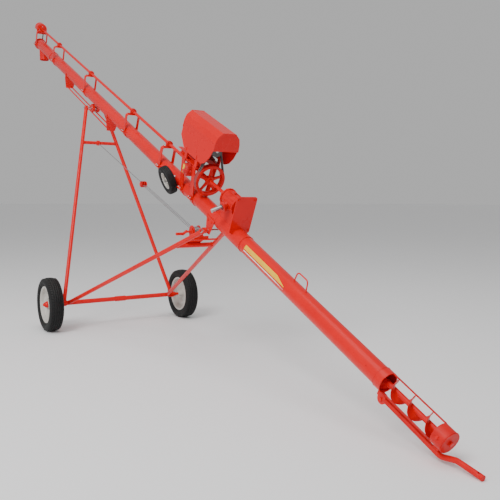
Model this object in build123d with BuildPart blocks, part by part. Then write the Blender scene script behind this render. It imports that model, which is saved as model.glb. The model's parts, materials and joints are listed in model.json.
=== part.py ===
from build123d import *
from math import acos, asin, atan2, cos, hypot, radians, sin, sqrt
import os

os.makedirs("parts", exist_ok=True)

# A towable tube grain auger. Lengths are in millimetres.
# "Station" is the distance along the tube axis, downhill positive, from the foot of the
# perpendicular dropped on the tube from the wheel axle. "Height" is measured square to the tube.

# Clearances
fit_gap = 0.3          # between clamped or sleeved curved faces
run_gap = 0.08         # between a shaft and its bore, on the radius

# Tube
tube_r = 67.5
tube_wall = 3
sleeve_wall = 3.5
head_end = -4286
head_length = 780
head_lap = 60
joint_station = 1900
coupling_length = 410
tube_end = 3844
collar_length = 60
spout_station = -4066
spout_r = 64
spout_wall = 3
spout_drop = 182
spout_collar = 60      # the stepped foot that a flexible sleeve is clamped on
spout_step = 2
end_plate = 6
cup_start = 4274
cup_length = 80
strap_width = 24
strap_wall = 5
strap_angle = 68
handle_station = 2850
handle_length = 150
handle_rise = 82
handle_rod_r = 5

# Screw
screw_r = 60
screw_shaft_r = 17
flight_pitch = 145
flight_wall = 4

# Drive line
shaft_height = 225
shaft_r = 15
hanger_stations = (-3320, -1912, -477, 484)
strap_thick = 6
hanger_width = 50
bearing_drop = 30
bearing_r = 32
bearing_width = 30
ear_length = 26
ear_thick = 6
bolt_r = 5
pulley_station = 1344
pulley_r = 140
pulley_width = 50
pulley_rim = 20
spoke_count = 5
groove_depth = 9
groove_pitch = 22
sprocket_station = -4350
sprocket_r = 40
sprocket_width = 8
chain_height = 12
chain_width = 16

# Motor
motor_height = 495
motor_r = 92
motor_pulley_r = 50
motor_shaft_r = 12
motor_start = 985
motor_length = 250
fan_length = 62
leg_stations = (1010, 1224)
leg_width = 60
leg_top = 300
rail_start = 884
rail_end = 1284
rail_depth = 50
rail_half = 110
rail_width = 40
hood_start = 904
hood_length = 600
hood_half = 120
hood_flat = 60
hood_top = 700
hood_base = 372
hood_wall = 3

# Gearbox
gear_station = 1794
gearbox_start = 1690
gearbox_r = 70
gearbox_neck_r = 45
gearbox_body = 205
gearbox_wall = 9
plate_station = 1960
plate_thick = 8
plate_half = 95
plate_top = 350
slot_r = 78
input_angle = 22.5
input_r = 17.5
input_reach = 206
input_seat_r = 20      # where the stub turns in the boss
input_seat_reach = 114
boss_reach = 112
boss_r = 34

# Undercarriage
wheel_r = 290
tyre_width = 150
wheel_track = 1600
leg_reach = 2368
pivot_spread = 3248
pivot_drop = 118
beam_r = 21
beam_foot_half = 600
leg_foot_half = 650
beam_top_half = 110
axle_r = 25
axle_half = 700
spindle_r = 15
spindle_reach = 40
pin_r = 12
roller_r = 49
roller_width = 30
roller_y = 30
rod_r = 8
track_start = -2675
track_end = -1029
cross_tube_at = 1910
cross_tube_r = 19

# Hoist
winch_at = 2050
winch_lift = 100
winch_floor = 28
winch_y = -20
drum_r = 38
drum_width = 70
block_r = 32
rope_r = 3
crank_reach = 58
pendant_length = 1430

# Side wheel, switch and tow bar
jockey_station = 832
jockey_y = -125
jockey_r = 135
jockey_width = 80
jockey_tilt = 25
switch_station = 1141
switch_height = 235
switch_y = -110
tow_start = 3849
tow_drop = 110
tow_r = 17
tow_bend = 4344
tow_rise_end = 4434
tow_tip = 4604
tow_tip_drop = 12
tow_rise_drop = 52
tow_bend_r = 70
tip_hole_r = 9
tip_hole_inset = 30

# The tube's slope follows from the scissor frame: the tow bar's tip rests on the ground.
half_spread = pivot_spread / 2
axle_drop = pivot_drop + sqrt(leg_reach ** 2 - half_spread ** 2)
tip_rise = axle_drop - tow_tip_drop
slope = acos((tow_r * 0.97 - wheel_r) / hypot(tip_rise, tow_tip)) - atan2(tow_tip, tip_rise)
downhill = Vector(cos(slope), 0, -sin(slope))
upward = Vector(sin(slope), 0, cos(slope))
sideways = Vector(0, 1, 0)

# The frame's origin is under the middle of the whole length.
low_reach = tow_tip * cos(slope) - tow_tip_drop * sin(slope)
high_reach = (head_end - 110) * cos(slope) - bearing_r * sin(slope)
foot = Vector(-(low_reach + high_reach) / 2, 0, wheel_r + axle_drop * cos(slope))
axle = foot - upward * axle_drop


def spot(station, height=0.0, side=0.0):
    """A point given in the tube's own directions."""
    return foot + downhill * station + upward * height + sideways * side


def across(station):
    """The plane square to the tube: x to the side, y upward, facing downhill."""
    return Plane(origin=spot(station), x_dir=sideways, z_dir=downhill)


def beside(side):
    """The plane along the tube: x is the station, y the height, facing the near side."""
    return Plane(origin=spot(0, 0, side), x_dir=downhill, z_dir=-sideways)


pivot = spot(half_spread, -pivot_drop)
roller_centre = spot(-half_spread, -pivot_drop)
beam_way = (pivot - axle).normalized()
leg_way = (roller_centre - axle).normalized()
fold_in = (upward * beam_way.dot(downhill) - downhill * beam_way.dot(upward)).normalized()


def beam_half(reach, foot_half):
    """Half the width between the frame's two sides, at a distance from the axle."""
    return foot_half + (beam_top_half - foot_half) * reach / leg_reach


def bar(start, end, radius, bore=0.0, mode=Mode.ADD):
    """Adds a round bar or pipe between two points."""
    run = end - start
    with BuildSketch(Plane(origin=start, z_dir=run.normalized())) as section:
        Circle(radius)
        if bore:
            Circle(bore, mode=Mode.SUBTRACT)
    extrude(section.sketch, amount=run.length, mode=mode)


def ring(station, length, outer, inner=0.0, height=0.0, mode=Mode.ADD):
    """Adds a disc or ring square to the tube."""
    bar(spot(station, height), spot(station + length, height), outer, inner, mode)


def turn(outline, centre, along, radial, mode=Mode.ADD):
    """Adds a turned piece. The outline's points are (radius, distance along the axis)."""
    with BuildSketch(Plane(origin=centre, x_dir=radial, z_dir=radial.cross(along))) as profile:
        with BuildLine():
            Polyline(*outline, close=True)
        make_face()
    revolve(profile.sketch, axis=Axis(centre, along), mode=mode)


def block(plane, x_low, x_high, y_low, y_high, low, high, mode=Mode.ADD):
    """Adds a box given by its limits in a plane's own directions."""
    with BuildSketch(plane.offset(low)) as outline:
        with Locations(((x_low + x_high) / 2, (y_low + y_high) / 2)):
            Rectangle(x_high - x_low, y_high - y_low)
    extrude(outline.sketch, amount=high - low, mode=mode)


def saddle(station, width, inner, foot_half, top_half, top, thick, corner):
    """Adds an inverted-U strap that stands over the tube, with two ears at its feet."""
    with BuildSketch(across(station - width / 2)) as outline:
        with BuildLine():
            Polyline((-foot_half, -30), (-foot_half, 0), (-top_half, top), (top_half, top), (foot_half, 0),
                     (foot_half, -30), close=True)
        make_face()
        fillet(outline.vertices().group_by(Axis.Z)[-1], corner)
        offset(amount=-thick, mode=Mode.SUBTRACT)
        with Locations((0, -50)):
            Rectangle(4 * foot_half, 100, mode=Mode.SUBTRACT)
        with Locations((-foot_half - ear_length / 2 + 1, ear_thick / 2),
                       (foot_half + ear_length / 2 - 1, ear_thick / 2)):
            Rectangle(ear_length + 2, ear_thick)
        Circle(inner + fit_gap, mode=Mode.SUBTRACT)
    extrude(outline.sketch, amount=width)


def write(part, name):
    """Labels a finished sub-part and writes its file."""
    part.label = name
    export_step(part, f"parts/{name}.step")


# ---------------------------------------------------------------- tube
sleeve_bore = tube_r + fit_gap
sleeve_r = sleeve_bore + sleeve_wall
head_low = head_end + head_length
upper_start = head_low - head_lap

with BuildPart() as upper_tube:
    ring(upper_start, joint_station - upper_start, tube_r, tube_r - tube_wall)
write(upper_tube.part, "upper_tube")

with BuildPart() as lower_tube:
    ring(joint_station, tube_end - joint_station, tube_r, tube_r - tube_wall)
write(lower_tube.part, "lower_tube")

coupling_start = joint_station - coupling_length / 2
with BuildPart() as tube_sleeves:
    ring(coupling_start, coupling_length, sleeve_r, sleeve_bore)
    ring(tube_end - collar_length, collar_length, sleeve_r, sleeve_bore)
write(tube_sleeves.part, "tube_sleeves")

spout_foot = spot(spout_station) - Vector(0, 0, spout_drop)
with BuildPart() as discharge_head:
    ring(head_end, head_length, sleeve_r)
    bar(spot(spout_station), spout_foot + Vector(0, 0, spout_collar), spout_r + spout_step)
    bar(spot(spout_station), spout_foot, spout_r)
    ring(head_end, head_length, sleeve_bore, mode=Mode.SUBTRACT)
    bar(spot(spout_station), spout_foot, spout_r - spout_wall, mode=Mode.SUBTRACT)
    ring(head_end - end_plate, end_plate, sleeve_r + 12, screw_shaft_r + run_gap)
write(discharge_head.part, "discharge_head")

cup_end = cup_start + cup_length
with BuildPart() as intake_cup:
    ring(cup_start, cup_length, tube_r, tube_r - tube_wall)
    ring(cup_end, end_plate, tube_r)
write(intake_cup.part, "intake_cup")

strap_r = tube_r + strap_wall / 2
with BuildPart() as cage_straps:
    with BuildSketch(across(tube_end)):
        with PolarLocations(tube_r, 2, start_angle=strap_angle):
            Rectangle(3 * strap_wall, strap_width)
        Circle(strap_r - strap_wall, mode=Mode.SUBTRACT)
        Circle(strap_r, mode=Mode.INTERSECT)
    extrude(amount=cup_start - tube_end)
write(cage_straps.part, "cage_straps")

handle_low = handle_station - handle_length / 2
handle_high = handle_station + handle_length / 2
with BuildPart() as carry_handle:
    with BuildLine(beside(0)) as loop:
        FilletPolyline((handle_low, tube_r), (handle_low + 12, tube_r + handle_rise),
                       (handle_high - 12, tube_r + handle_rise), (handle_high, tube_r), radius=30)
    with BuildSketch(Plane(origin=loop.line @ 0, z_dir=loop.line % 0)):
        Circle(handle_rod_r)
    sweep(path=loop.line)
    ring(handle_low - 20, handle_length + 40, tube_r + fit_gap, mode=Mode.SUBTRACT)
write(carry_handle.part, "carry_handle")

# ---------------------------------------------------------------- screw
screw_start = sprocket_station - 15
screw_stop = cup_end - 4
with BuildPart() as screw_shaft:
    ring(screw_start, screw_stop - screw_start, screw_shaft_r)
write(screw_shaft.part, "screw_shaft")

flight_first = head_end + 30
flight_last = cup_start + 20
flight_count = int((flight_last - flight_first) / flight_pitch)
flight_root = screw_shaft_r + 0.15
turn_share = 0.998
turn_rise = flight_pitch * turn_share
screw_face = across(flight_last - flight_count * flight_pitch)
flight_helix = Helix(flight_pitch, turn_rise, (flight_root + screw_r) / 2)
blade_plane = Plane(origin=((flight_root + screw_r) / 2, 0, 0), x_dir=(1, 0, 0), z_dir=(0, 1, 0))
blade_outline = blade_plane * Rectangle(screw_r - flight_root, flight_wall)
blade = sweep(blade_outline, path=flight_helix, is_frenet=True)
with BuildPart() as screw_flights:
    for count in range(flight_count):
        add(screw_face.offset(count * flight_pitch) * blade)
write(screw_flights.part, "screw_flights")

top_bearing = head_end - end_plate

# ---------------------------------------------------------------- shaft hangers and clamps
strap_top = shaft_height - bearing_drop
hanger_foot = tube_r + fit_gap + strap_thick
stand_station = head_end + 40
stand_foot = sleeve_r + fit_gap + strap_thick
with BuildPart() as shaft_hangers:
    for station in hanger_stations:
        saddle(station, hanger_width, tube_r, hanger_foot, hanger_foot, strap_top, strap_thick, 22)
    saddle(stand_station, hanger_width, sleeve_r, stand_foot, stand_foot, strap_top, strap_thick, 22)
write(shaft_hangers.part, "shaft_hangers")

# Each band: station, width, radius of the tube that it holds.
bands = [(station, hanger_width, tube_r) for station in hanger_stations]
bands += [(station, leg_width, tube_r) for station in leg_stations]
bands += [(stand_station, hanger_width, sleeve_r)]
with BuildPart() as clamp_bands:
    for station, width, inner in bands:
        outer = inner + fit_gap + strap_thick
        with BuildSketch(across(station - width / 2)) as outline:
            Circle(outer)
            with Locations((-outer - ear_length / 2 + 1, -ear_thick / 2),
                           (outer + ear_length / 2 - 1, -ear_thick / 2)):
                Rectangle(ear_length + 2, ear_thick)
            Circle(inner + fit_gap, mode=Mode.SUBTRACT)
            with Locations((0, outer)):
                Rectangle(3 * outer, 2 * outer, mode=Mode.SUBTRACT)
        extrude(outline.sketch, amount=width)
write(clamp_bands.part, "clamp_bands")

with BuildPart() as clamp_bolts:
    for station, width, inner in bands:
        reach = inner + fit_gap + strap_thick + ear_length / 2 + 2
        for side in (-reach, reach):
            bar(spot(station, ear_thick, side), spot(station, ear_thick + 8, side), bolt_r * 1.7)
            bar(spot(station, -ear_thick, side), spot(station, -ear_thick - 14, side), bolt_r * 1.7)
write(clamp_bolts.part, "clamp_bolts")

with BuildPart() as shaft_bearings:
    for station in (stand_station,) + hanger_stations:
        with BuildSketch(across(station - bearing_width / 2)) as outline:
            with Locations((0, strap_top + 6)):
                Rectangle(110, 12)
            with Locations((0, shaft_height)):
                Circle(bearing_r)
            with Locations((0, strap_top - 10)):
                Rectangle(2 * bearing_r, 20, mode=Mode.SUBTRACT)
            with Locations((0, shaft_height)):
                Circle(shaft_r + run_gap, mode=Mode.SUBTRACT)
        extrude(outline.sketch, amount=bearing_width)
    ring(top_bearing - 18, 18, 42, screw_shaft_r + run_gap)
    ring(cup_end - 22, 22, tube_r - tube_wall - fit_gap, screw_shaft_r + run_gap)
write(shaft_bearings.part, "shaft_bearings")

# ---------------------------------------------------------------- drive shaft
shaft_start = sprocket_station - 15
shaft_stop = gear_station - 24
with BuildPart() as drive_shaft:
    ring(shaft_start, shaft_stop - shaft_start, shaft_r, height=shaft_height)
write(drive_shaft.part, "drive_shaft")


def grooved(radius, width, bore):
    """The outline of a pulley's rim with two belt grooves, as (radius, distance) points."""
    points = [(bore, -width / 2), (radius, -width / 2)]
    for middle in (-groove_pitch / 2, groove_pitch / 2):
        points += [(radius, middle - 8), (radius - groove_depth, middle - 5),
                   (radius - groove_depth, middle + 5), (radius, middle + 8)]
    return points + [(radius, width / 2), (bore, width / 2)]


pulley_centre = spot(pulley_station, shaft_height)
hub_r = shaft_r + 17
rim_bore = pulley_r - pulley_rim
with BuildPart() as drive_pulley:
    turn(grooved(pulley_r, pulley_width, rim_bore), pulley_centre, downhill, sideways)
    ring(pulley_station - 28, 56, hub_r, height=shaft_height)
    with BuildSketch(across(pulley_station - 7)) as spokes:
        with Locations((0, shaft_height)):
            with PolarLocations((hub_r + rim_bore) / 2 - 1, spoke_count, start_angle=90):
                Rectangle(rim_bore - hub_r + 10, 22)
    extrude(spokes.sketch, amount=14)
    ring(pulley_station - 30, 60, shaft_r + run_gap, height=shaft_height, mode=Mode.SUBTRACT)
write(drive_pulley.part, "drive_pulley")

sprocket_low = sprocket_station - sprocket_width / 2
with BuildPart() as drive_sprocket:
    ring(sprocket_low, sprocket_width, sprocket_r, height=shaft_height)
    ring(sprocket_low, sprocket_width + 14, 26, height=shaft_height)
    ring(sprocket_low - 1, sprocket_width + 20, shaft_r + run_gap, height=shaft_height, mode=Mode.SUBTRACT)
write(drive_sprocket.part, "drive_sprocket")

with BuildPart() as screw_sprocket:
    ring(sprocket_low, sprocket_width, sprocket_r)
    ring(sprocket_low, sprocket_width + 14, 27)
    ring(sprocket_low - 1, sprocket_width + 20, screw_shaft_r + run_gap, mode=Mode.SUBTRACT)
write(screw_sprocket.part, "screw_sprocket")


def loop_face(plane, low, low_r, high, high_r, thick):
    """A belt's face: the band round two wheels at the heights low and high."""
    with BuildSketch(plane) as band:
        for grow, mode in ((thick, Mode.ADD), (0, Mode.SUBTRACT)):
            lean = asin((low_r - high_r) / (high - low))
            big, small = low_r + grow, high_r + grow
            with Locations((0, low)):
                Circle(big, mode=mode)
            with Locations((0, high)):
                Circle(small, mode=mode)
            with BuildLine():
                Polyline((-big * cos(lean), low + big * sin(lean)), (big * cos(lean), low + big * sin(lean)),
                         (small * cos(lean), high + small * sin(lean)),
                         (-small * cos(lean), high + small * sin(lean)), close=True)
            make_face(mode=mode)
    return band.sketch


belt_r = pulley_r - groove_depth + fit_gap
belt_top_r = motor_pulley_r - groove_depth + fit_gap
with BuildPart() as v_belts:
    for middle in (-groove_pitch / 2, groove_pitch / 2):
        belt_plane = across(pulley_station + middle - 4.5)
        extrude(loop_face(belt_plane, shaft_height, belt_r, motor_height, belt_top_r, 8), amount=9)
write(v_belts.part, "v_belts")

with BuildPart() as drive_chain:
    chain_plane = across(sprocket_station - chain_width / 2)
    chain_bore = sprocket_r + fit_gap
    extrude(loop_face(chain_plane, 0, chain_bore, shaft_height, chain_bore, chain_height), amount=chain_width)
write(drive_chain.part, "drive_chain")

guard_r = sprocket_r + chain_height + 20
guard_start = sprocket_station - 40
guard_end = stand_station - hanger_width / 2
with BuildPart() as chain_guard:
    with BuildSketch(across(guard_start)) as outline:
        with Locations((0, shaft_height)):
            Circle(guard_r)
        with Locations((0, shaft_height - 37)):
            Rectangle(2 * guard_r, 74)
    extrude(outline.sketch, amount=guard_end - guard_start)
    with BuildSketch(across(guard_start + 3)) as inside:
        with Locations((0, shaft_height)):
            Circle(guard_r - 3)
        with Locations((0, shaft_height - 60)):
            Rectangle(2 * guard_r - 6, 120)
    extrude(inside.sketch, amount=guard_end - guard_start - 6, mode=Mode.SUBTRACT)
    block(across(guard_start), -guard_r - 1, guard_r + 1, 0, shaft_height - 22, -1,
          guard_end - guard_start - 3, Mode.SUBTRACT)
    ring(guard_end - 5, 10, shaft_r + 3, height=shaft_height, mode=Mode.SUBTRACT)

lower_guard_r = sprocket_r + chain_height + 8
with BuildPart() as lower_guard:
    ring(sprocket_station - 22, top_bearing - sprocket_station + 22, lower_guard_r, lower_guard_r - 3)
    ring(sprocket_station - 25, 3, lower_guard_r)
    block(across(sprocket_station - 30), -100, 100, 8, 100, 0, 200, Mode.SUBTRACT)

with BuildPart() as chain_guards:
    add(chain_guard.part)
    add(lower_guard.part)
write(chain_guards.part, "chain_guards")

# ---------------------------------------------------------------- motor
rail_top = leg_top + rail_depth
with BuildPart() as motor_frame:
    for station in leg_stations:
        saddle(station, leg_width, tube_r, hanger_foot, rail_half, leg_top, 8, 15)
    for side in (-1, 1):
        outer, inner = side * rail_half, side * (rail_half - rail_width)
        low, high = min(outer, inner), max(outer, inner)
        block(across(rail_start), low, high, leg_top, rail_top, 0, rail_end - rail_start)
        web_low, web_high = (low - 1, high - 5) if side < 0 else (low + 5, high + 1)
        block(across(rail_start), web_low, web_high, leg_top + 5, rail_top - 5, -1,
              rail_end - rail_start + 1, Mode.SUBTRACT)
    for station in (hood_start + 130, hood_start + 330):
        for side in (-1, 1):
            near, far = side * (rail_half - 5), side * (hood_half - hood_wall - 1.5)
            block(across(station), min(near, far), max(near, far), leg_top + 5, hood_base + 38, 0, 40)
write(motor_frame.part, "motor_frame")

with BuildPart() as motor_housing:
    ring(motor_start, motor_length, motor_r, height=motor_height)
    for side in (-1, 1):
        block(across(motor_start + 25), side * 78 - 26, side * 78 + 26, rail_top, rail_top + 14, 0, 190)
        block(across(motor_start + 25), side * 66 - 8, side * 66 + 8, rail_top, motor_height - 60, 0, 190)
    ring(motor_start - 1, motor_length + 2, motor_shaft_r + run_gap, height=motor_height, mode=Mode.SUBTRACT)
write(motor_housing.part, "motor_housing")

with BuildPart() as motor_fan_cover:
    ring(motor_start - fan_length, fan_length, motor_r + 3, motor_r, height=motor_height)
    ring(motor_start - fan_length, 3, motor_r + 3, height=motor_height)
write(motor_fan_cover.part, "motor_fan_cover")

with BuildPart() as motor_terminal_box:
    block(across(motor_start + 70), -45, 45, motor_height + motor_r - 10, motor_height + motor_r + 45, 0, 100)
    ring(motor_start, motor_length, motor_r + 0.1, height=motor_height, mode=Mode.SUBTRACT)
write(motor_terminal_box.part, "motor_terminal_box")

with BuildPart() as motor_shaft:
    ring(motor_start - 40, pulley_station + 30 - motor_start + 40, motor_shaft_r, height=motor_height)
write(motor_shaft.part, "motor_shaft")

motor_pulley_centre = spot(pulley_station, motor_height)
with BuildPart() as motor_pulley:
    turn(grooved(motor_pulley_r, pulley_width, motor_shaft_r + run_gap), motor_pulley_centre, downhill, sideways)
write(motor_pulley.part, "motor_pulley")

hood_end = hood_start + hood_length


def hood_outline(inset):
    """The points of the hood's cross-section. The inset one is cut out, which opens it below."""
    low = hood_base - (1 if inset else 0)
    high = hood_top - inset
    right = [(hood_flat, high), (hood_half - inset - 18, high - 42), (hood_half - inset - 4, high - 90),
             (hood_half - inset, low)]
    return [(-side, height) for side, height in reversed(right)] + right


with BuildPart() as motor_hood:
    with BuildSketch(across(hood_start)) as shell:
        with BuildLine():
            Polyline(*hood_outline(0), close=True)
        make_face()
    extrude(shell.sketch, amount=hood_length)
    with BuildSketch(across(hood_start + hood_wall)) as hollow:
        with BuildLine():
            Polyline(*hood_outline(hood_wall), close=True)
        make_face()
    extrude(hollow.sketch, amount=hood_length - 2 * hood_wall, mode=Mode.SUBTRACT)
    with BuildSketch(beside(-hood_half - 5)) as trim:
        with BuildLine():
            Polyline((hood_start - 5, hood_base - 5), (hood_start + 115, hood_base - 5),
                     (hood_start + 115, hood_base), (hood_start, hood_base + 105),
                     (hood_start - 5, hood_base + 105), close=True)
        make_face()
        with BuildLine():
            Polyline((hood_end + 5, hood_base - 5), (hood_end - 165, hood_base - 5), (hood_end - 165, hood_base),
                     (hood_end - 100, hood_base + 35), (hood_end - 45, hood_base + 100),
                     (hood_end - 12, hood_base + 175), (hood_end + 5, hood_base + 175), close=True)
        make_face()
    extrude(trim.sketch, amount=-2 * hood_half - 10, mode=Mode.SUBTRACT)
write(motor_hood.part, "motor_hood")

# ---------------------------------------------------------------- gearbox
gear_point = spot(gear_station, shaft_height)
input_way = -sideways * cos(radians(input_angle)) - upward * sin(radians(input_angle))
box_end = gearbox_start + gearbox_body
with BuildPart() as gearbox_housing:
    ring(gearbox_start, gearbox_body, gearbox_r, height=shaft_height)
    ring(box_end, plate_station - box_end, gearbox_neck_r, height=shaft_height)
    block(across(gearbox_start + 10), -42, 42, 40, shaft_height, 0, gearbox_body - 20)
    bar(gear_point, gear_point + input_way * boss_reach, boss_r)
    ring(gearbox_start + gearbox_wall, gearbox_body - 2 * gearbox_wall, gearbox_r - gearbox_wall,
         height=shaft_height, mode=Mode.SUBTRACT)
    ring(gearbox_start - 1, gearbox_wall + 2, shaft_r + run_gap, height=shaft_height, mode=Mode.SUBTRACT)
    bar(gear_point, gear_point + input_way * (boss_reach + 10), input_seat_r + run_gap, mode=Mode.SUBTRACT)
    ring(gearbox_start, gearbox_body, sleeve_r + 0.1, mode=Mode.SUBTRACT)
write(gearbox_housing.part, "gearbox_housing")

with BuildPart() as gearbox_plate:
    with BuildSketch(across(plate_station)) as outline:
        with Locations((0, (30 + plate_top) / 2)):
            Rectangle(2 * plate_half, plate_top - 30)
        fillet(outline.vertices().group_by(Axis.Z)[-1], 22)
        for angle in (-50, 30, 110, 190):
            with Locations((0, shaft_height)):
                SlotArc(CenterArc((0, 0), slot_r, angle, 36), 13, mode=Mode.SUBTRACT)
        Circle(sleeve_r + 0.1, mode=Mode.SUBTRACT)
    extrude(outline.sketch, amount=plate_thick)
write(gearbox_plate.part, "gearbox_plate")

gear_near = 24
gear_far = 42
gear_slack = 1
bevel = [(shaft_r + run_gap, gear_near), (gear_near - gear_slack, gear_near),
         (gear_far - gear_slack, gear_far), (shaft_r + run_gap, gear_far)]
input_bevel = [(0, gear_near), (gear_near - gear_slack, gear_near), (gear_far - gear_slack, gear_far),
               (0, gear_far)]
with BuildPart() as drive_gear:
    turn(bevel, gear_point, -downhill, sideways)
write(drive_gear.part, "drive_gear")

with BuildPart() as input_shaft:
    turn(input_bevel, gear_point, input_way, downhill)
    bar(gear_point + input_way * gear_far, gear_point + input_way * input_seat_reach, input_seat_r)
    bar(gear_point + input_way * input_seat_reach, gear_point + input_way * input_reach, input_r)
write(input_shaft.part, "input_shaft")

# ---------------------------------------------------------------- switch
switch_half = 45
switch_front = switch_y - 35
switch_plane = across(switch_station - switch_half)
with BuildPart() as switch_box:
    block(switch_plane, switch_front, switch_y + 35, switch_height - 45, switch_height + 45, 0, 2 * switch_half)
    block(switch_plane, switch_y + 10, switch_y + 30, switch_height + 45, leg_top, 30, 60)
write(switch_box.part, "switch_box")

with BuildPart() as switch_plate:
    block(switch_plane, switch_front - 3, switch_front, switch_height - 38, switch_height + 38, 8, 40)
write(switch_plate.part, "switch_plate")

knob_face = spot(switch_station + 18, switch_height - 6, switch_front - 0.3)
with BuildPart() as switch_knob:
    bar(knob_face, knob_face - sideways * 8, 22)
    bar(knob_face - sideways * 8, knob_face - sideways * 24, 17)
write(switch_knob.part, "switch_knob")

# ---------------------------------------------------------------- side wheel
jockey_way = -sideways * cos(radians(jockey_tilt)) - upward * sin(radians(jockey_tilt))
jockey_centre = spot(jockey_station, 0, jockey_y)
half = jockey_width / 2
jockey_seat = 78
with BuildPart() as jockey_tyre:
    turn([(jockey_seat, -28), (jockey_seat + 14, -28), (jockey_seat + 24, -half), (jockey_r - 18, -half),
          (jockey_r, -half + 16), (jockey_r, half - 16), (jockey_r - 18, half), (jockey_seat + 24, half),
          (jockey_seat + 14, 28), (jockey_seat, 28)], jockey_centre, jockey_way, downhill)
write(jockey_tyre.part, "jockey_tyre")

with BuildPart() as jockey_rim:
    turn([(10 + run_gap, -30), (24, -30), (24, -6), (jockey_seat - 5, -6), (jockey_seat - 5, -28),
          (jockey_seat - 0.2, -28), (jockey_seat - 0.2, 28), (jockey_seat - 5, 28), (jockey_seat - 5, -1),
          (24, -1), (24, 20), (10 + run_gap, 20)], jockey_centre, jockey_way, downhill)
write(jockey_rim.part, "jockey_rim")

stub_root = jockey_centre - jockey_way * 75
with BuildPart() as jockey_axle:
    bar(stub_root, jockey_centre + jockey_way * 24, 10)
    bar(stub_root, jockey_centre - jockey_way * 33, 18)
    bar(jockey_centre + jockey_way * 22, jockey_centre + jockey_way * 30, 16)
    ring(jockey_station - 50, 100, tube_r + 0.1, mode=Mode.SUBTRACT)
write(jockey_axle.part, "jockey_axle")

# ---------------------------------------------------------------- roller track and pivot bracket
rod_height = -pivot_drop - roller_r - rod_r - 0.5
with BuildPart() as track_rods:
    for side in (-roller_y, roller_y):
        bar(spot(track_start, rod_height, side), spot(track_end, rod_height, side), rod_r)
write(track_rods.part, "track_rods")

ear_low = tube_r + fit_gap
with BuildPart() as frame_brackets:
    for station in (track_start - 10, track_end):
        with BuildSketch(across(station)) as outline:
            with BuildLine():
                Polyline((-sleeve_r - 4, 0), (sleeve_r + 4, 0), (sleeve_r + 4, -60), (48, rod_height - 14),
                         (-48, rod_height - 14), (-sleeve_r - 4, -60), close=True)
            make_face()
            Circle(tube_r + fit_gap, mode=Mode.SUBTRACT)
        extrude(outline.sketch, amount=10)
    for side in (ear_low, -ear_low - 10):
        with BuildSketch(beside(side)) as outline:
            with BuildLine():
                Polyline((half_spread - 70, 0), (half_spread + 70, 0), (half_spread + 28, -pivot_drop - 26),
                         (half_spread - 28, -pivot_drop - 26), close=True)
            make_face()
            with Locations((half_spread, -pivot_drop)):
                Circle(pin_r + run_gap, mode=Mode.SUBTRACT)
        extrude(outline.sketch, amount=-10)
write(frame_brackets.part, "frame_brackets")

pin_half = beam_top_half + 28
with BuildPart() as pivot_pin:
    bar(pivot - sideways * pin_half, pivot + sideways * pin_half, pin_r)
    for side in (-1, 1):
        bar(pivot + sideways * side * pin_half, pivot + sideways * side * (pin_half + 8), pin_r + 8)
write(pivot_pin.part, "pivot_pin")

# ---------------------------------------------------------------- tow bar
tip_path = [(tow_start, -tow_drop), (tow_bend, -tow_drop), (tow_rise_end, -tow_rise_drop),
            (tow_tip, -tow_tip_drop)]
tip_way = (downhill * (tow_tip - tow_rise_end) + upward * (tow_rise_drop - tow_tip_drop)).normalized()
tip_up = tip_way.cross(sideways) * -1
tip_hole = spot(tow_tip, -tow_tip_drop) - tip_way * tip_hole_inset
with BuildPart() as tow_bar:
    with BuildLine(beside(0)) as route:
        FilletPolyline(*tip_path, radius=tow_bend_r)
    with BuildSketch(Plane(origin=route.line @ 0, z_dir=route.line % 0)):
        Circle(tow_r)
    sweep(path=route.line)
    ring(tow_start - 20, 520, tube_r + 0.1, mode=Mode.SUBTRACT)
    bar(tip_hole - tip_up * 40, tip_hole + tip_up * 40, tip_hole_r, mode=Mode.SUBTRACT)
write(tow_bar.part, "tow_bar")

with BuildPart() as tow_bar_lugs:
    bar(spot(tow_start, -tow_drop - 4, -13), spot(tow_start, -tow_drop - 4, 13), 34)
    block(across(cup_start + 5), -8, 8, -tow_drop, -50, 0, 40)
    block(across(tow_start - 44), -13, 13, -tow_drop, -50, 0, 34)
    bar(spot(tow_start, -tow_drop), spot(cup_end, -tow_drop), tow_r + 0.1, mode=Mode.SUBTRACT)
    ring(tow_start - 60, 60, sleeve_r + 0.1, mode=Mode.SUBTRACT)
    ring(cup_start, cup_length, tube_r + 0.1, mode=Mode.SUBTRACT)
write(tow_bar_lugs.part, "tow_bar_lugs")

# ---------------------------------------------------------------- lower frame
for name, side in (("near", -1), ("far", 1)):
    beam_foot = axle + sideways * side * beam_foot_half
    beam_head = pivot + sideways * side * beam_top_half
    with BuildPart() as lower_beam:
        bar(beam_foot, beam_head, beam_r)
        bar(beam_head - sideways * 14, beam_head + sideways * 14, pin_r + 14)
        bar(beam_head - sideways * 40, beam_head + sideways * 40, pin_r + run_gap, mode=Mode.SUBTRACT)
        bar(axle - sideways * axle_half, axle + sideways * axle_half, axle_r + 0.1, mode=Mode.SUBTRACT)
    write(lower_beam.part, f"{name}_lower_beam")

with BuildPart() as lower_cross_tubes:
    for reach, radius in ((leg_reach - 408, beam_r), (leg_reach - 250, 8)):
        middle = axle + beam_way * reach
        width = beam_half(reach, beam_foot_half)
        bar(middle - sideways * width, middle + sideways * width, radius)
    for side in (-1, 1):
        bar(axle + sideways * side * beam_foot_half, pivot + sideways * side * beam_top_half,
            beam_r + 0.1, mode=Mode.SUBTRACT)
write(lower_cross_tubes.part, "lower_cross_tubes")

hub_out = wheel_track / 2 + spindle_reach
with BuildPart() as axle_beam:
    bar(axle - sideways * axle_half, axle + sideways * axle_half, axle_r)
    bar(axle - sideways * hub_out, axle + sideways * hub_out, spindle_r)
    bar(axle - sideways * 60, axle + sideways * 60, axle_r + 5)
write(axle_beam.part, "axle_beam")

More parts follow.
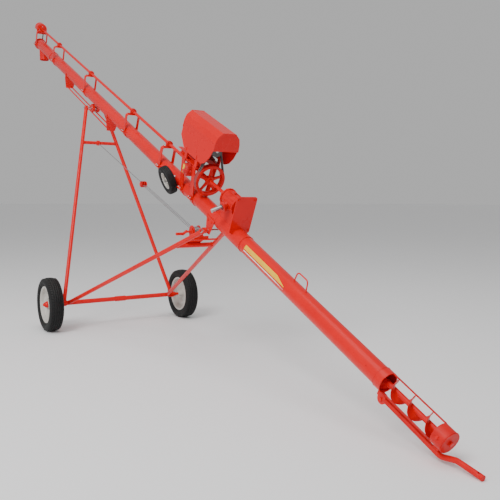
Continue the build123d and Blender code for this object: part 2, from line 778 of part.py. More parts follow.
# ---------------------------------------------------------------- leaning frame
for name, side in (("near", -1), ("far", 1)):
    leg_foot = axle + sideways * side * leg_foot_half
    leg_head = roller_centre + sideways * side * beam_top_half
    with BuildPart() as frame_leg:
        bar(leg_foot, leg_head, beam_r)
        bar(leg_foot - sideways * 22, leg_foot + sideways * 22, axle_r + 8)
        bar(leg_head - sideways * 14, leg_head + sideways * 14, pin_r + 12)
        bar(leg_head - sideways * 40, leg_head + sideways * 40, pin_r + run_gap, mode=Mode.SUBTRACT)
        bar(axle - sideways * axle_half, axle + sideways * axle_half, axle_r + run_gap, mode=Mode.SUBTRACT)
    write(frame_leg.part, f"{name}_leg")

with BuildPart() as leg_cross_tube:
    middle = axle + leg_way * cross_tube_at
    width = beam_half(cross_tube_at, leg_foot_half)
    bar(middle - sideways * width, middle + sideways * width, cross_tube_r)
    for side in (-1, 1):
        bar(axle + sideways * side * leg_foot_half, roller_centre + sideways * side * beam_top_half,
            beam_r + 0.1, mode=Mode.SUBTRACT)
    anchor_ring = middle + sideways * winch_y
    bar(anchor_ring - sideways * 14, anchor_ring + sideways * 14, cross_tube_r + 11)
write(leg_cross_tube.part, "leg_cross_tube")

with BuildPart() as roller_shaft:
    bar(roller_centre - sideways * pin_half, roller_centre + sideways * pin_half, pin_r)
    bar(roller_centre - sideways * 12, roller_centre + sideways * 12, pin_r + 6)
write(roller_shaft.part, "roller_shaft")

with BuildPart() as track_rollers:
    for side in (-roller_y, roller_y):
        middle = roller_centre + sideways * side
        bar(middle - sideways * roller_width / 2, middle + sideways * roller_width / 2, roller_r,
            pin_r + run_gap)
write(track_rollers.part, "track_rollers")

# ---------------------------------------------------------------- road wheels
rim_seat = 186
half = tyre_width / 2
tyre_outline = [(rim_seat + 0.2, -52), (rim_seat + 20, -52), (rim_seat + 38, -half + 4), (rim_seat + 56, -half),
                (wheel_r - 30, -half), (wheel_r - 12, -half + 8), (wheel_r, -half + 26), (wheel_r, half - 26),
                (wheel_r - 12, half - 8), (wheel_r - 30, half), (rim_seat + 56, half),
                (rim_seat + 38, half - 4), (rim_seat + 20, 52), (rim_seat + 0.2, 52)]
hub_bore = spindle_r + run_gap
for name, side in (("near", -1), ("far", 1)):
    centre = axle + sideways * side * wheel_track / 2
    outward = sideways * side
    with BuildPart() as road_tyre:
        turn(tyre_outline, centre, outward, Vector(0, 0, 1))
    write(road_tyre.part, f"{name}_tyre")
    with BuildPart() as road_rim:
        turn([(hub_bore, -62), (34, -62), (34, 6), (92, 14), (120, 2), (rim_seat - 5, 2), (rim_seat - 5, -56),
              (rim_seat + 14, -56), (rim_seat + 14, -52.2), (rim_seat, -52.2), (rim_seat, 52.2),
              (rim_seat + 14, 52.2), (rim_seat + 14, 56), (rim_seat - 5, 56), (rim_seat - 5, 7), (120, 7),
              (92, 19), (34, 12), (34, 30), (hub_bore, 30)], centre, outward, Vector(0, 0, 1))
    with BuildPart() as hub_cap:
        turn([(hub_bore, 31), (36, 31), (36, 44), (26, 56), (0, 60), (0, spindle_reach + fit_gap),
              (hub_bore, spindle_reach + fit_gap)], centre, outward, Vector(0, 0, 1))
        for count in range(5):
            angle = radians(72 * count)
            seat = centre + Vector(sin(angle), 0, cos(angle)) * 60
            bar(seat + outward * 16, seat + outward * 30, 9)
        turn([(0, -60), (92, -60), (92, 19), (34, 12.2), (34, 30.2), (0, 30.2)], centre, outward,
             Vector(0, 0, 1), Mode.SUBTRACT)
    with BuildPart() as wheel_rim:
        add(road_rim.part)
        add(hub_cap.part)
    write(wheel_rim.part, f"{name}_rim")

# ---------------------------------------------------------------- winch and hoist
winch_base = axle + beam_way * winch_at
winch = winch_base + fold_in * winch_lift
anchor = axle + leg_way * cross_tube_at
hoist_way = (anchor - winch).normalized()
hoist_length = (anchor - winch).length
drum_middle = winch + sideways * winch_y
cheek = drum_width / 2 + 4
winch_face = Plane(origin=winch_base, x_dir=beam_way, z_dir=-sideways)
crank_near = 106
crank_end = winch - beam_way * crank_reach
with BuildPart() as winch_drum:
    bar(winch - sideways * (crank_near + 8), winch + sideways * 30, 10)
    bar(drum_middle - sideways * drum_width / 2, drum_middle + sideways * drum_width / 2, drum_r)
    for side in (-1, 1):
        rim = drum_middle + sideways * side * (drum_width / 2 - 2)
        bar(rim - sideways * 2, rim + sideways * 2, drum_r + 16)
    block(winch_face, -crank_reach - 13, 13, winch_lift - 12, winch_lift + 12, crank_near, crank_near + 10)
    bar(crank_end - sideways * (crank_near + 5), crank_end - sideways * (crank_near + 80), 7)
    bar(crank_end - sideways * (crank_near + 14), crank_end - sideways * (crank_near + 76), 13)
write(winch_drum.part, "winch_drum")

with BuildPart() as winch_frame:
    for side in (-1, 1):
        plate_low = -winch_y - side * (cheek + 3) - 3
        with BuildSketch(winch_face.offset(plate_low)) as outline:
            with BuildLine():
                Polyline((-58, winch_floor), (58, winch_floor), (24, winch_lift + 24), (-24, winch_lift + 24),
                         close=True)
            make_face()
            with Locations((0, winch_lift)):
                Circle(10 + run_gap, mode=Mode.SUBTRACT)
        extrude(outline.sketch, amount=6)
    block(winch_face, -110, 82, beam_r + fit_gap, winch_floor, -60, 90)
    block(winch_face, 60, 76, 8 + fit_gap, beam_r + fit_gap, -60, 90)
write(winch_frame.part, "winch_frame")

block_reach = hoist_length - pendant_length
block_point = winch + hoist_way * block_reach + sideways * winch_y
anchor_point = anchor + sideways * winch_y
falls_start = drum_r + fit_gap
with BuildPart() as hoist_falls:
    for side in (-18, 0, 18):
        line = sideways * side
        bar(drum_middle + line + hoist_way * falls_start, block_point + line - hoist_way * (block_r + fit_gap),
            rope_r)
write(hoist_falls.part, "hoist_falls")

with BuildPart() as hoist_block:
    for side in (-18, 0, 18):
        middle = block_point + sideways * side
        bar(middle - sideways * 6, middle + sideways * 6, block_r)
    bar(block_point - sideways * 32, block_point + sideways * 32, 8)
    for side in (-29, 29):
        middle = block_point + sideways * side
        bar(middle - sideways * 3, middle + sideways * 3, block_r - 6)
    bar(block_point - sideways * 32 + hoist_way * 18, block_point + sideways * 32 + hoist_way * 18, 6)
    bar(block_point + hoist_way * 18, block_point + hoist_way * (block_r + 18), 7)
write(hoist_block.part, "hoist_block")

with BuildPart() as hoist_pendant:
    bar(block_point + hoist_way * (block_r + 18.3), anchor_point - hoist_way * (cross_tube_r + 11 + fit_gap),
        rope_r + 1)
write(hoist_pendant.part, "hoist_pendant")
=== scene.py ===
import json
import math
import random

import bmesh
import bpy
from mathutils import Matrix, Vector


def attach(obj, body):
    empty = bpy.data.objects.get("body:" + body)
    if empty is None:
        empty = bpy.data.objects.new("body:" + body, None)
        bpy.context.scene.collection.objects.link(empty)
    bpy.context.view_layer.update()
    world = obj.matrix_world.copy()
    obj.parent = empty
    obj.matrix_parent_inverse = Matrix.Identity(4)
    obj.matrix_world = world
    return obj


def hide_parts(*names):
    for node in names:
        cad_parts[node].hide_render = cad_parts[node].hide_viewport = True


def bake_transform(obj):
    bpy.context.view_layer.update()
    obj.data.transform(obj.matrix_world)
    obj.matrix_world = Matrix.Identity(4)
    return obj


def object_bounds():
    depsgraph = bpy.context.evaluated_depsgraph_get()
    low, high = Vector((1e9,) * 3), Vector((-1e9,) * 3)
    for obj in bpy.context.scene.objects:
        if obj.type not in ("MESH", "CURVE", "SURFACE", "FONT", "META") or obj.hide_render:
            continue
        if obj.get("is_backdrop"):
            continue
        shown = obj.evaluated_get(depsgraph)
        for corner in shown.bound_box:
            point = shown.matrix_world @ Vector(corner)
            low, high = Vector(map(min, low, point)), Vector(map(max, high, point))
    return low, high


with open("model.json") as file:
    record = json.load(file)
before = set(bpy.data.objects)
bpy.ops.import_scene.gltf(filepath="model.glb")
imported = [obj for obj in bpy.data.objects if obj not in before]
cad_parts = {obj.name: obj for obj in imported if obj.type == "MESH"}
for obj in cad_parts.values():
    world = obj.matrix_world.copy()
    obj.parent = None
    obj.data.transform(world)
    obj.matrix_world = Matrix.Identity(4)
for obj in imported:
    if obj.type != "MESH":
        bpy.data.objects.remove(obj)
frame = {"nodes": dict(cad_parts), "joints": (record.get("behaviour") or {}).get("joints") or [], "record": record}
cad_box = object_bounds()
nodes = frame["nodes"]
joints = {joint["name"]: joint for joint in frame["joints"]}
random.seed(7)

# The tube's own directions, as in the CAD: a station along it, a height square to it, a side.
MM = 0.001
foot = Vector(joints["screw_spin"]["pos_m"])
downhill = Vector(joints["screw_spin"]["axis"]).normalized()
sideways = Vector((0, 1, 0))
upward = downhill.cross(sideways)


def spot(station, height=0.0, side=0.0):
    """A point in metres, from millimetres in the tube's own directions."""
    return foot + (downhill * station + upward * height + sideways * side) * MM


# Sizes that the visual pieces share with the CAD, in millimetres.
tube_r = 67.5
sleeve_r = 71.3
fit_gap = 0.3
strap_thick = 6
ear_length = 26
tube_end = 3844
head_end = -4286
head_length = 780
cup_start = 4274
cup_length = 80
coupling_ends = (1695, 2105)
hanger_stations = (-3320, -1912, -477, 484)
leg_stations = (1010, 1224)
stand_station = head_end + 40
shaft_height = 225
shaft_r = 15
screw_shaft_r = 17
bearing_half = 15
pulley_station = 1344
motor_height = 495
wheel_r = 290
rim_seat = 186
jockey_r = 135
jockey_seat = 78
leg_reach = 2368
beam_top_half = 110
beam_foot_half = 600
leg_foot_half = 650
cross_tube_at = 1910
cross_tube_r = 19
beam_r = 21
half_spread = 1624
tow_start = 3849

# Bores of the visual pieces that stand in for turned CAD parts. They are a little wider than the CAD's.
shaft_bore = shaft_r + 0.1
screw_bore = screw_shaft_r + 0.1


# ------------------------------------------------------------------ mesh building
class Shape:
    """Gathers the faces of one object, in millimetres."""

    def __init__(self):
        self.points = []
        self.faces = []

    def add(self, points, faces, matrix=None):
        start = len(self.points)
        self.points += [matrix @ Vector(p) if matrix else Vector(p) for p in points]
        self.faces += [tuple(i + start for i in face) for face in faces]

    def rings(self, rings, matrix=None, close_rings=False, caps=True):
        """Joins rings of equal length, one after another."""
        size = len(rings[0])
        points = [p for ring in rings for p in ring]
        faces = []
        last = len(rings) if close_rings else len(rings) - 1
        for i in range(last):
            j = (i + 1) % len(rings)
            for k in range(size):
                n = (k + 1) % size
                faces.append((i * size + k, i * size + n, j * size + n, j * size + k))
        if caps and not close_rings:
            faces.append(tuple(reversed(range(size))))
            faces.append(tuple(range((len(rings) - 1) * size, len(rings) * size)))
        self.add(points, faces, matrix)

    def lathe(self, outline, matrix=None, steps=64, closed=True):
        """Turns an outline of (radius, height) points about the Z axis."""
        rings = []
        for k in range(steps):
            angle = math.tau * k / steps
            rings.append([(r * math.cos(angle), r * math.sin(angle), z) for r, z in outline])
        if closed:
            self.rings(rings, matrix, close_rings=True)
            return
        size = len(outline)
        points = [p for ring in rings for p in ring]
        faces = []
        for i in range(steps):
            j = (i + 1) % steps
            for k in range(size - 1):
                faces.append((i * size + k, j * size + k, j * size + k + 1, i * size + k + 1))
        self.add(points, faces, matrix)

    def sweep(self, path, radius, sides=10, closed=False, matrix=None):
        """A round bar along a path. The radius is a number, or one for each point."""
        path = [Vector(p) for p in path]
        count = len(path)
        normal = None
        rings = []
        for i in range(count):
            before = path[i - 1] if i or closed else path[i]
            after = path[(i + 1) % count] if i < count - 1 or closed else path[i]
            tangent = (after - before).normalized()
            if normal is None:
                normal = tangent.orthogonal().normalized()
            normal = (normal - tangent * normal.dot(tangent)).normalized()
            other = tangent.cross(normal)
            r = radius[i] if isinstance(radius, (list, tuple)) else radius
            rings.append([path[i] + (normal * math.cos(math.tau * k / sides)
                                     + other * math.sin(math.tau * k / sides)) * r
                          for k in range(sides)])
        self.rings(rings, matrix, close_rings=closed)

    def box(self, low, high, matrix=None, bevel=1.0):
        """A box with its upright corners and its top and bottom edges taken off."""
        def ring(inset, z):
            b = bevel
            x0, y0, x1, y1 = low[0] + inset, low[1] + inset, high[0] - inset, high[1] - inset
            return [(x0 + b, y0, z), (x1 - b, y0, z), (x1, y0 + b, z), (x1, y1 - b, z),
                    (x1 - b, y1, z), (x0 + b, y1, z), (x0, y1 - b, z), (x0, y0 + b, z)]
        self.rings([ring(bevel, low[2]), ring(0, low[2] + bevel), ring(0, high[2] - bevel),
                    ring(bevel, high[2])], matrix)

    def hexagon(self, matrix, across, height, start=0.0, chamfer=0.12):
        """A hexagon head or nut that stands on the matrix's XY plane."""
        r = across / math.sqrt(3)

        def ring(scale, z):
            return [(r * scale * math.cos(math.tau * k / 6), r * scale * math.sin(math.tau * k / 6), z)
                    for k in range(6)]
        self.rings([ring(1 - chamfer, start), ring(1, start + height * chamfer),
                    ring(1, start + height * (1 - chamfer)), ring(1 - chamfer, start + height)], matrix)

    def disc(self, matrix, radius, height, start=0.0, steps=20, edge=0.4):
        """A washer or a short round bar with its edges taken off."""
        self.lathe([(0, start), (radius - edge, start), (radius, start + edge),
                    (radius, start + height - edge), (radius - edge, start + height),
                    (0, start + height)], matrix, steps)

    def bolt(self, matrix, size, head=True):
        """A hexagon bolt's head on its washer, or the nut on the thread's end."""
        self.disc(matrix, size * 1.05, size * 0.18)
        self.hexagon(matrix, size * 1.6, size * 0.65, size * 0.18)
        if not head:
            top = size * 0.83
            turns = [(size * (0.5 if k % 2 else 0.44), top + k * size * 0.06) for k in range(6)]
            self.lathe([(0, top)] + turns + [(0, turns[-1][1])], matrix, 16)


def frame_at(origin, along, across=None):
    """A matrix whose Z is along and X is across, for a Shape in millimetres."""
    z = Vector(along).normalized()
    x = Vector(across) if across is not None else z.orthogonal()
    x = (x - z * x.dot(z)).normalized()
    y = z.cross(x)
    turned = Matrix((x, y, z)).transposed().to_4x4()
    return Matrix.Translation(Vector(origin) / MM) @ turned


def around(count, radius, height, half=False):
    """The moves from a circle's centre to the places evenly spaced round it."""
    moves = []
    for k in range(count):
        angle = math.tau * (k + 0.5 if half else k) / count
        moves.append(Matrix.Translation((radius * math.cos(angle), radius * math.sin(angle), height)))
    return moves


def finish_mesh(mesh, angle=35):
    """Cleans a mesh and sets smooth faces with sharp edges."""
    work = bmesh.new()
    work.from_mesh(mesh)
    bmesh.ops.remove_doubles(work, verts=work.verts, dist=2e-6)
    bmesh.ops.dissolve_degenerate(work, edges=work.edges, dist=1e-6)
    bmesh.ops.recalc_face_normals(work, faces=work.faces)
    for face in work.faces:
        face.smooth = True
    for edge in work.edges:
        if len(edge.link_faces) == 2:
            edge.smooth = edge.calc_face_angle(0) < math.radians(angle)
    work.to_mesh(mesh)
    work.free()
    mesh.update()


def piece(name, shape, material, body, replaces=(), angle=35):
    """Makes an object of a Shape, gives it its material and body, and hides the CAD parts it replaces."""
    mesh = bpy.data.meshes.new(name)
    mesh.from_pydata([tuple(p * MM) for p in shape.points], [], shape.faces)
    finish_mesh(mesh, angle)
    obj = bpy.data.objects.new(name, mesh)
    bpy.context.scene.collection.objects.link(obj)
    mesh.materials.append(material)
    if body:
        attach(obj, body)
    if replaces:
        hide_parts(*replaces)
    return obj


def rounded(points, radius, steps=4):
    """Rounds the corners of a closed outline of two-number points."""
    out = []
    count = len(points)
    for i in range(count):
        a, b, c = (Vector(points[(i + d) % count]) for d in (-1, 0, 1))
        back, on = a - b, c - b
        cut = min(radius, back.length * 0.45, on.length * 0.45)
        p, q = b + back.normalized() * cut, b + on.normalized() * cut
        for k in range(steps + 1):
            t = k / steps
            out.append(tuple(p * (1 - t) ** 2 + b * 2 * t * (1 - t) + q * t * t))
    return out


# ------------------------------------------------------------------ materials
def links(tree, *pairs):
    """Joins pairs of node sockets."""
    for source, target in pairs:
        tree.links.new(source, target)


def surface(name, low, high, rough, metallic=0.0, scale=6.0, bump=0.15, bump_scale=220.0, coat=0.0,
            coat_rough=0.08, specular=0.5, speck=None, speck_share=0.62, speck_scale=60.0, dust=0.0,
            stretch=None):
    """A procedural surface: mottled colour, varied roughness, fine bump, specks of wear and dust above."""
    material = bpy.data.materials.new(name)
    material.use_nodes = True
    tree = material.node_tree
    shader = tree.nodes["Principled BSDF"]
    shader.inputs["Metallic"].default_value = metallic
    shader.inputs["Coat Weight"].default_value = coat
    shader.inputs["Coat Roughness"].default_value = coat_rough
    shader.inputs["Specular IOR Level"].default_value = specular
    place = tree.nodes.new("ShaderNodeTexCoord")
    where = place.outputs["Object"]
    if stretch:
        mapping = tree.nodes.new("ShaderNodeMapping")
        mapping.inputs["Scale"].default_value = stretch
        links(tree, (where, mapping.inputs["Vector"]))
        where = mapping.outputs["Vector"]
    mottle = tree.nodes.new("ShaderNodeTexNoise")
    mottle.inputs["Scale"].default_value = scale
    mottle.inputs["Detail"].default_value = 7
    mottle.inputs["Roughness"].default_value = 0.6
    ramp = tree.nodes.new("ShaderNodeValToRGB")
    ramp.color_ramp.elements[0].position = 0.32
    ramp.color_ramp.elements[0].color = (*low, 1)
    ramp.color_ramp.elements[1].position = 0.68
    ramp.color_ramp.elements[1].color = (*high, 1)
    links(tree, (where, mottle.inputs["Vector"]), (mottle.outputs["Fac"], ramp.inputs["Fac"]))
    colour = ramp.outputs["Color"]
    grain = tree.nodes.new("ShaderNodeTexNoise")
    grain.inputs["Scale"].default_value = bump_scale
    grain.inputs["Detail"].default_value = 4
    links(tree, (where, grain.inputs["Vector"]))
    if speck:
        chips = tree.nodes.new("ShaderNodeTexNoise")
        chips.inputs["Scale"].default_value = speck_scale
        chips.inputs["Detail"].default_value = 9
        chips.inputs["Roughness"].default_value = 0.7
        cut = tree.nodes.new("ShaderNodeValToRGB")
        cut.color_ramp.elements[0].position = speck_share
        cut.color_ramp.elements[1].position = speck_share + 0.03
        mix = tree.nodes.new("ShaderNodeMix")
        mix.data_type = "RGBA"
        mix.inputs["B"].default_value = (*speck, 1)
        links(tree, (where, chips.inputs["Vector"]), (chips.outputs["Fac"], cut.inputs["Fac"]),
              (cut.outputs["Color"], mix.inputs["Factor"]), (colour, mix.inputs["A"]))
        colour = mix.outputs["Result"]
    if dust:
        normal = tree.nodes.new("ShaderNodeNewGeometry")
        split = tree.nodes.new("ShaderNodeSeparateXYZ")
        up = tree.nodes.new("ShaderNodeMapRange")
        up.inputs["From Min"].default_value = 0.35
        up.inputs["From Max"].default_value = 1.0
        up.inputs["To Max"].default_value = dust
        patch = tree.nodes.new("ShaderNodeMath")
        patch.operation = "MULTIPLY"
        veil = tree.nodes.new("ShaderNodeMix")
        veil.data_type = "RGBA"
        veil.inputs["B"].default_value = (0.62, 0.55, 0.47, 1)
        links(tree, (normal.outputs["Normal"], split.inputs["Vector"]),
              (split.outputs["Z"], up.inputs["Value"]),
              (up.outputs["Result"], patch.inputs[0]), (mottle.outputs["Fac"], patch.inputs[1]),
              (patch.outputs["Value"], veil.inputs["Factor"]), (colour, veil.inputs["A"]))
        colour = veil.outputs["Result"]
    links(tree, (colour, shader.inputs["Base Color"]))
    sheen = tree.nodes.new("ShaderNodeMapRange")
    sheen.inputs["From Min"].default_value = 0.3
    sheen.inputs["From Max"].default_value = 0.7
    sheen.inputs["To Min"].default_value = rough[0]
    sheen.inputs["To Max"].default_value = rough[1]
    links(tree, (mottle.outputs["Fac"], sheen.inputs["Value"]),
          (sheen.outputs["Result"], shader.inputs["Roughness"]))
    relief = tree.nodes.new("ShaderNodeBump")
    relief.inputs["Strength"].default_value = bump
    relief.inputs["Distance"].default_value = 0.0006
    links(tree, (grain.outputs["Fac"], relief.inputs["Height"]),
          (relief.outputs["Normal"], shader.inputs["Normal"]))
    return material


red = surface("red_enamel", (0.70, 0.0010, 0.0028), (0.80, 0.0014, 0.0036), (0.26, 0.36), scale=3.5,
              bump=0.10, bump_scale=260, specular=0.2, coat=0.14, coat_rough=0.06, speck=(0.50, 0.002, 0.004),
              speck_share=0.66, speck_scale=45, dust=0.008)
cast_red = surface("red_cast", (0.60, 0.0010, 0.0028), (0.76, 0.0014, 0.0036), (0.34, 0.5), scale=14,
                   bump=0.45, bump_scale=150, specular=0.2, coat=0.08, coat_rough=0.15,
                   speck=(0.36, 0.002, 0.003), speck_share=0.66, speck_scale=70, dust=0.008)
sheet_red = surface("red_sheet", (0.70, 0.0010, 0.0028), (0.78, 0.0014, 0.0036), (0.24, 0.32), scale=2.2,
                    bump=0.05, bump_scale=120, specular=0.2, coat=0.16, coat_rough=0.05,
                    speck=(0.58, 0.0015, 0.003), speck_share=0.68, speck_scale=50, dust=0.006)
worn_red = surface("red_worn", (0.58, 0.0012, 0.0030), (0.76, 0.0014, 0.0036), (0.32, 0.5), scale=9,
                   bump=0.25, bump_scale=180, specular=0.2, speck=(0.22, 0.16, 0.14), speck_share=0.66,
                   speck_scale=26, dust=0.012)
weld_red = surface("red_weld", (0.56, 0.0010, 0.0028), (0.72, 0.0014, 0.0036), (0.32, 0.5), scale=40,
                   bump=0.5, bump_scale=300, specular=0.2)
rubber = surface("tyre_rubber", (0.006, 0.006, 0.0065), (0.016, 0.016, 0.0165), (0.55, 0.78), scale=11,
                 bump=0.35, bump_scale=420, specular=0.35, speck=(0.05, 0.047, 0.043),
                 speck_share=0.64, speck_scale=38, dust=0.05)
belt = surface("belt_rubber", (0.07, 0.072, 0.074), (0.13, 0.13, 0.13), (0.6, 0.8), scale=24, bump=0.5,
               bump_scale=900, specular=0.3, speck=(0.16, 0.155, 0.15), speck_share=0.62, speck_scale=80)
rim_paint = surface("rim_paint", (0.50, 0.48, 0.44), (0.68, 0.655, 0.61), (0.38, 0.55), scale=7, bump=0.2,
                    bump_scale=200, coat=0.1, speck=(0.30, 0.27, 0.23), speck_share=0.66, speck_scale=30,
                    dust=0.05)
steel = surface("bright_steel", (0.46, 0.46, 0.46), (0.62, 0.62, 0.61), (0.26, 0.42), metallic=1.0, scale=30,
                bump=0.2, bump_scale=500, speck=(0.20, 0.17, 0.15), speck_share=0.68, speck_scale=60,
                stretch=(1, 6, 1))
zinc = surface("zinc_plate", (0.52, 0.52, 0.50), (0.70, 0.69, 0.66), (0.32, 0.5), metallic=1.0, scale=60,
               bump=0.25, bump_scale=420, speck=(0.34, 0.31, 0.27), speck_share=0.64, speck_scale=90)
dark_steel = surface("oiled_steel", (0.05, 0.05, 0.055), (0.13, 0.125, 0.12), (0.25, 0.5), metallic=0.85,
                     scale=40, bump=0.3, bump_scale=420, speck=(0.3, 0.28, 0.25), speck_share=0.66,
                     speck_scale=80)
rope = surface("wire_rope", (0.26, 0.265, 0.275), (0.44, 0.44, 0.45), (0.36, 0.55), metallic=0.8, scale=70,
               bump=0.4, bump_scale=900, speck=(0.10, 0.095, 0.09), speck_share=0.6, speck_scale=120)
# Darker and redder than the base colour that the record gives for the motor's paint.
motor_look = surface("motor_enamel", (0.15, 0.0020, 0.0040), (0.22, 0.0030, 0.0060), (0.38, 0.55), scale=16,
                     bump=0.4, bump_scale=220, coat=0.15, speck=(0.18, 0.18, 0.17), speck_share=0.69,
                     speck_scale=60, dust=0.12)
yellow = surface("yellow_plastic", (0.86, 0.52, 0.03), (0.93, 0.60, 0.05), (0.38, 0.5), scale=18, bump=0.2,
                 bump_scale=500, speck=(0.6, 0.36, 0.04), speck_share=0.70, speck_scale=60)
red_plastic = surface("red_plastic", (0.56, 0.01, 0.015), (0.66, 0.014, 0.018), (0.28, 0.4), scale=20,
                      bump=0.15, bump_scale=600, coat=0.15, speck=(0.4, 0.01, 0.012),
                      speck_share=0.72, speck_scale=60)
black_plastic = surface("black_plastic", (0.014, 0.014, 0.015), (0.03, 0.03, 0.031), (0.4, 0.55), scale=30,
                        bump=0.35, bump_scale=700, speck=(0.06, 0.06, 0.06), speck_share=0.7, speck_scale=90)
stripe_yellow = surface("stripe_yellow", (0.93, 0.50, 0.012), (0.96, 0.56, 0.018), (0.32, 0.42), scale=9,
                        bump=0.1, bump_scale=300, speck=(0.75, 0.4, 0.04), speck_share=0.72, speck_scale=60)
stripe_white = surface("stripe_white", (0.84, 0.83, 0.80), (0.92, 0.91, 0.88), (0.32, 0.42), scale=9,
                       bump=0.1, bump_scale=300, speck=(0.7, 0.6, 0.55), speck_share=0.72, speck_scale=60)

slot_look = {"red_paint": red, "tyre_rubber": rubber, "rim_paint": rim_paint, "bare_steel": steel,
             "zinc_bolts": zinc, "belt_rubber": belt, "chain_steel": dark_steel, "cast_bearing": cast_red,
             "motor_paint": motor_look, "fan_cover_steel": motor_look, "yellow_plastic": yellow,
             "red_plastic": red_plastic, "wire_rope": rope}
node_look = {"motor_hood": sheet_red, "gearbox_housing": cast_red, "drive_pulley": cast_red,
             "screw_flights": worn_red, "intake_cup": worn_red, "cage_straps": worn_red,
             "screw_shaft": worn_red,
             "drive_shaft": red, "tow_bar": worn_red, "track_rods": red, "motor_pulley": dark_steel}
for entry in frame["record"]["subparts"]:
    node = nodes[entry["node"]]
    node.data.materials.clear()
    node.data.materials.append(node_look.get(entry["node"], slot_look[entry["material_slot"]]))

# ------------------------------------------------------------------ camera, floor and light
focal_share = 644.03 / 500
sensor = 36
camera_data = bpy.data.cameras.new("camera")
camera_data.sensor_width = sensor
camera_data.lens = focal_share * sensor
camera_data.shift_x = 0.00175
camera_data.shift_y = -0.00072
camera_data.clip_end = 400
camera = bpy.data.objects.new("camera", camera_data)
bpy.context.scene.collection.objects.link(camera)
azimuth, pitch, roll = (math.radians(a) for a in (57.0741, -4.5224, 0.265))
forward = Vector((-math.sin(azimuth) * math.cos(pitch), math.cos(azimuth) * math.cos(pitch), math.sin(pitch)))
right = Vector((math.cos(azimuth), math.sin(azimuth), 0))
above = right.cross(forward)
right, above = (right * math.cos(roll) + above * math.sin(roll),
                above * math.cos(roll) - right * math.sin(roll))
axle = Vector(joints["leg_fold"]["pos_m"])
camera.matrix_world = (Matrix.Translation((axle.x + 6.975, -2.7512, 1.4413))
                       @ Matrix((right, above, -forward)).transposed().to_4x4())
bpy.context.scene.camera = camera

floor_mesh = bpy.data.meshes.new("floor")
floor_half = 150
floor_mesh.from_pydata([(-floor_half, -floor_half, 0), (floor_half, -floor_half, 0),
                        (floor_half, floor_half, 0), (-floor_half, floor_half, 0)], [], [(0, 1, 2, 3)])
floor = bpy.data.objects.new("floor", floor_mesh)
bpy.context.scene.collection.objects.link(floor)
floor_look = bpy.data.materials.new("floor_pale")
floor_look.use_nodes = True
floor_shader = floor_look.node_tree.nodes["Principled BSDF"]
floor_shader.inputs["Base Color"].default_value = (0.95, 0.95, 0.955, 1)
floor_shader.inputs["Roughness"].default_value = 0.75
floor_shader.inputs["Specular IOR Level"].default_value = 0.2
floor_mesh.materials.append(floor_look)
floor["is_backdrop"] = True

sky = 0.5
world = bpy.data.worlds.new("studio")
world.use_nodes = True
bpy.context.scene.world = world
background = world.node_tree.nodes["Background"]
background.inputs["Color"].default_value = (1.0, 1.0, 1.0, 1)
background.inputs["Strength"].default_value = sky


def lamp(name, place, target, size, power):
    """A round soft lamp that faces a point."""
    data = bpy.data.lights.new(name, "AREA")
    data.shape = "DISK"
    data.size = size
    data.energy = power
    obj = bpy.data.objects.new(name, data)
    bpy.context.scene.collection.objects.link(obj)
    obj.location = place
    obj.rotation_euler = (Vector(target) - Vector(place)).to_track_quat("-Z", "Y").to_euler()


middle = Vector((0, 0, 1.6))
lamp("key", (5.0, -7.0, 8.5), middle, 5, 700)
lamp("top", (3.0, -2.0, 10.5), middle, 8, 350)
lamp("fill", (1.0, -11.0, 4.0), middle, 6, 120)

# ------------------------------------------------------------------ road wheels
def tyre_mesh(name):
    """A tyre about Z: four zigzag grooves, cut shoulders and a ribbed, stepped side wall."""
    steps = 480
    tread_half = 56
    across_steps = 56
    wall = ((1, 50), (8, 54), (13, 53.4), (17, 59), (26, 66), (27, 64.8), (31, 64.8), (32, 70), (44, 74),
            (58, 75), (60, 73.4), (64, 73.2), (66, 74.5), (78, 72), (88, 67), (96, 61))
    side = [(rim_seat + rise, y) for rise, y in wall]
    lateral = [-tread_half + 2 * tread_half * k / across_steps for k in range(across_steps + 1)]
    inner = [(rim_seat + 1, -50), (rim_seat + 0.5, -20), (rim_seat + 0.5, 20)]
    rings = []
    for step in range(steps):
        angle = math.tau * step / steps
        zig = 3.2 * (abs((step % 16) - 8) / 4 - 1)
        cut = step % 8
        ring = []
        for r, y in side:
            drop = 2.2 if r > rim_seat + 76 and cut in (0, 1) else 0
            ring.append((r - drop, -y))
        for y in lateral:
            r = wheel_r - 12 * (abs(y) / tread_half) ** 2.6
            for groove in (-33, -11, 11, 33):
                if abs(y - groove - zig) < 3.1:
                    r -= 8
                    break
            else:
                if abs(y) > 36 and cut in (0, 1):
                    r -= 6
                elif abs(y) <= 36 and cut == 4 and abs(abs(y) - 22) > 2:
                    r -= 2.4
            ring.append((r, y))
        for r, y in reversed(side):
            drop = 2.2 if r > rim_seat + 76 and cut in (0, 1) else 0
            ring.append((r - drop, y))
        ring += [(r, -y) for r, y in inner]
        rings.append([(r * math.cos(angle), r * math.sin(angle), y) for r, y in ring])
    shape = Shape()
    shape.rings(rings, close_rings=True)
    mesh = bpy.data.meshes.new(name)
    mesh.from_pydata([tuple(p * MM) for p in shape.points], [], shape.faces)
    finish_mesh(mesh, 28)
    mesh.materials.append(rubber)
    return mesh


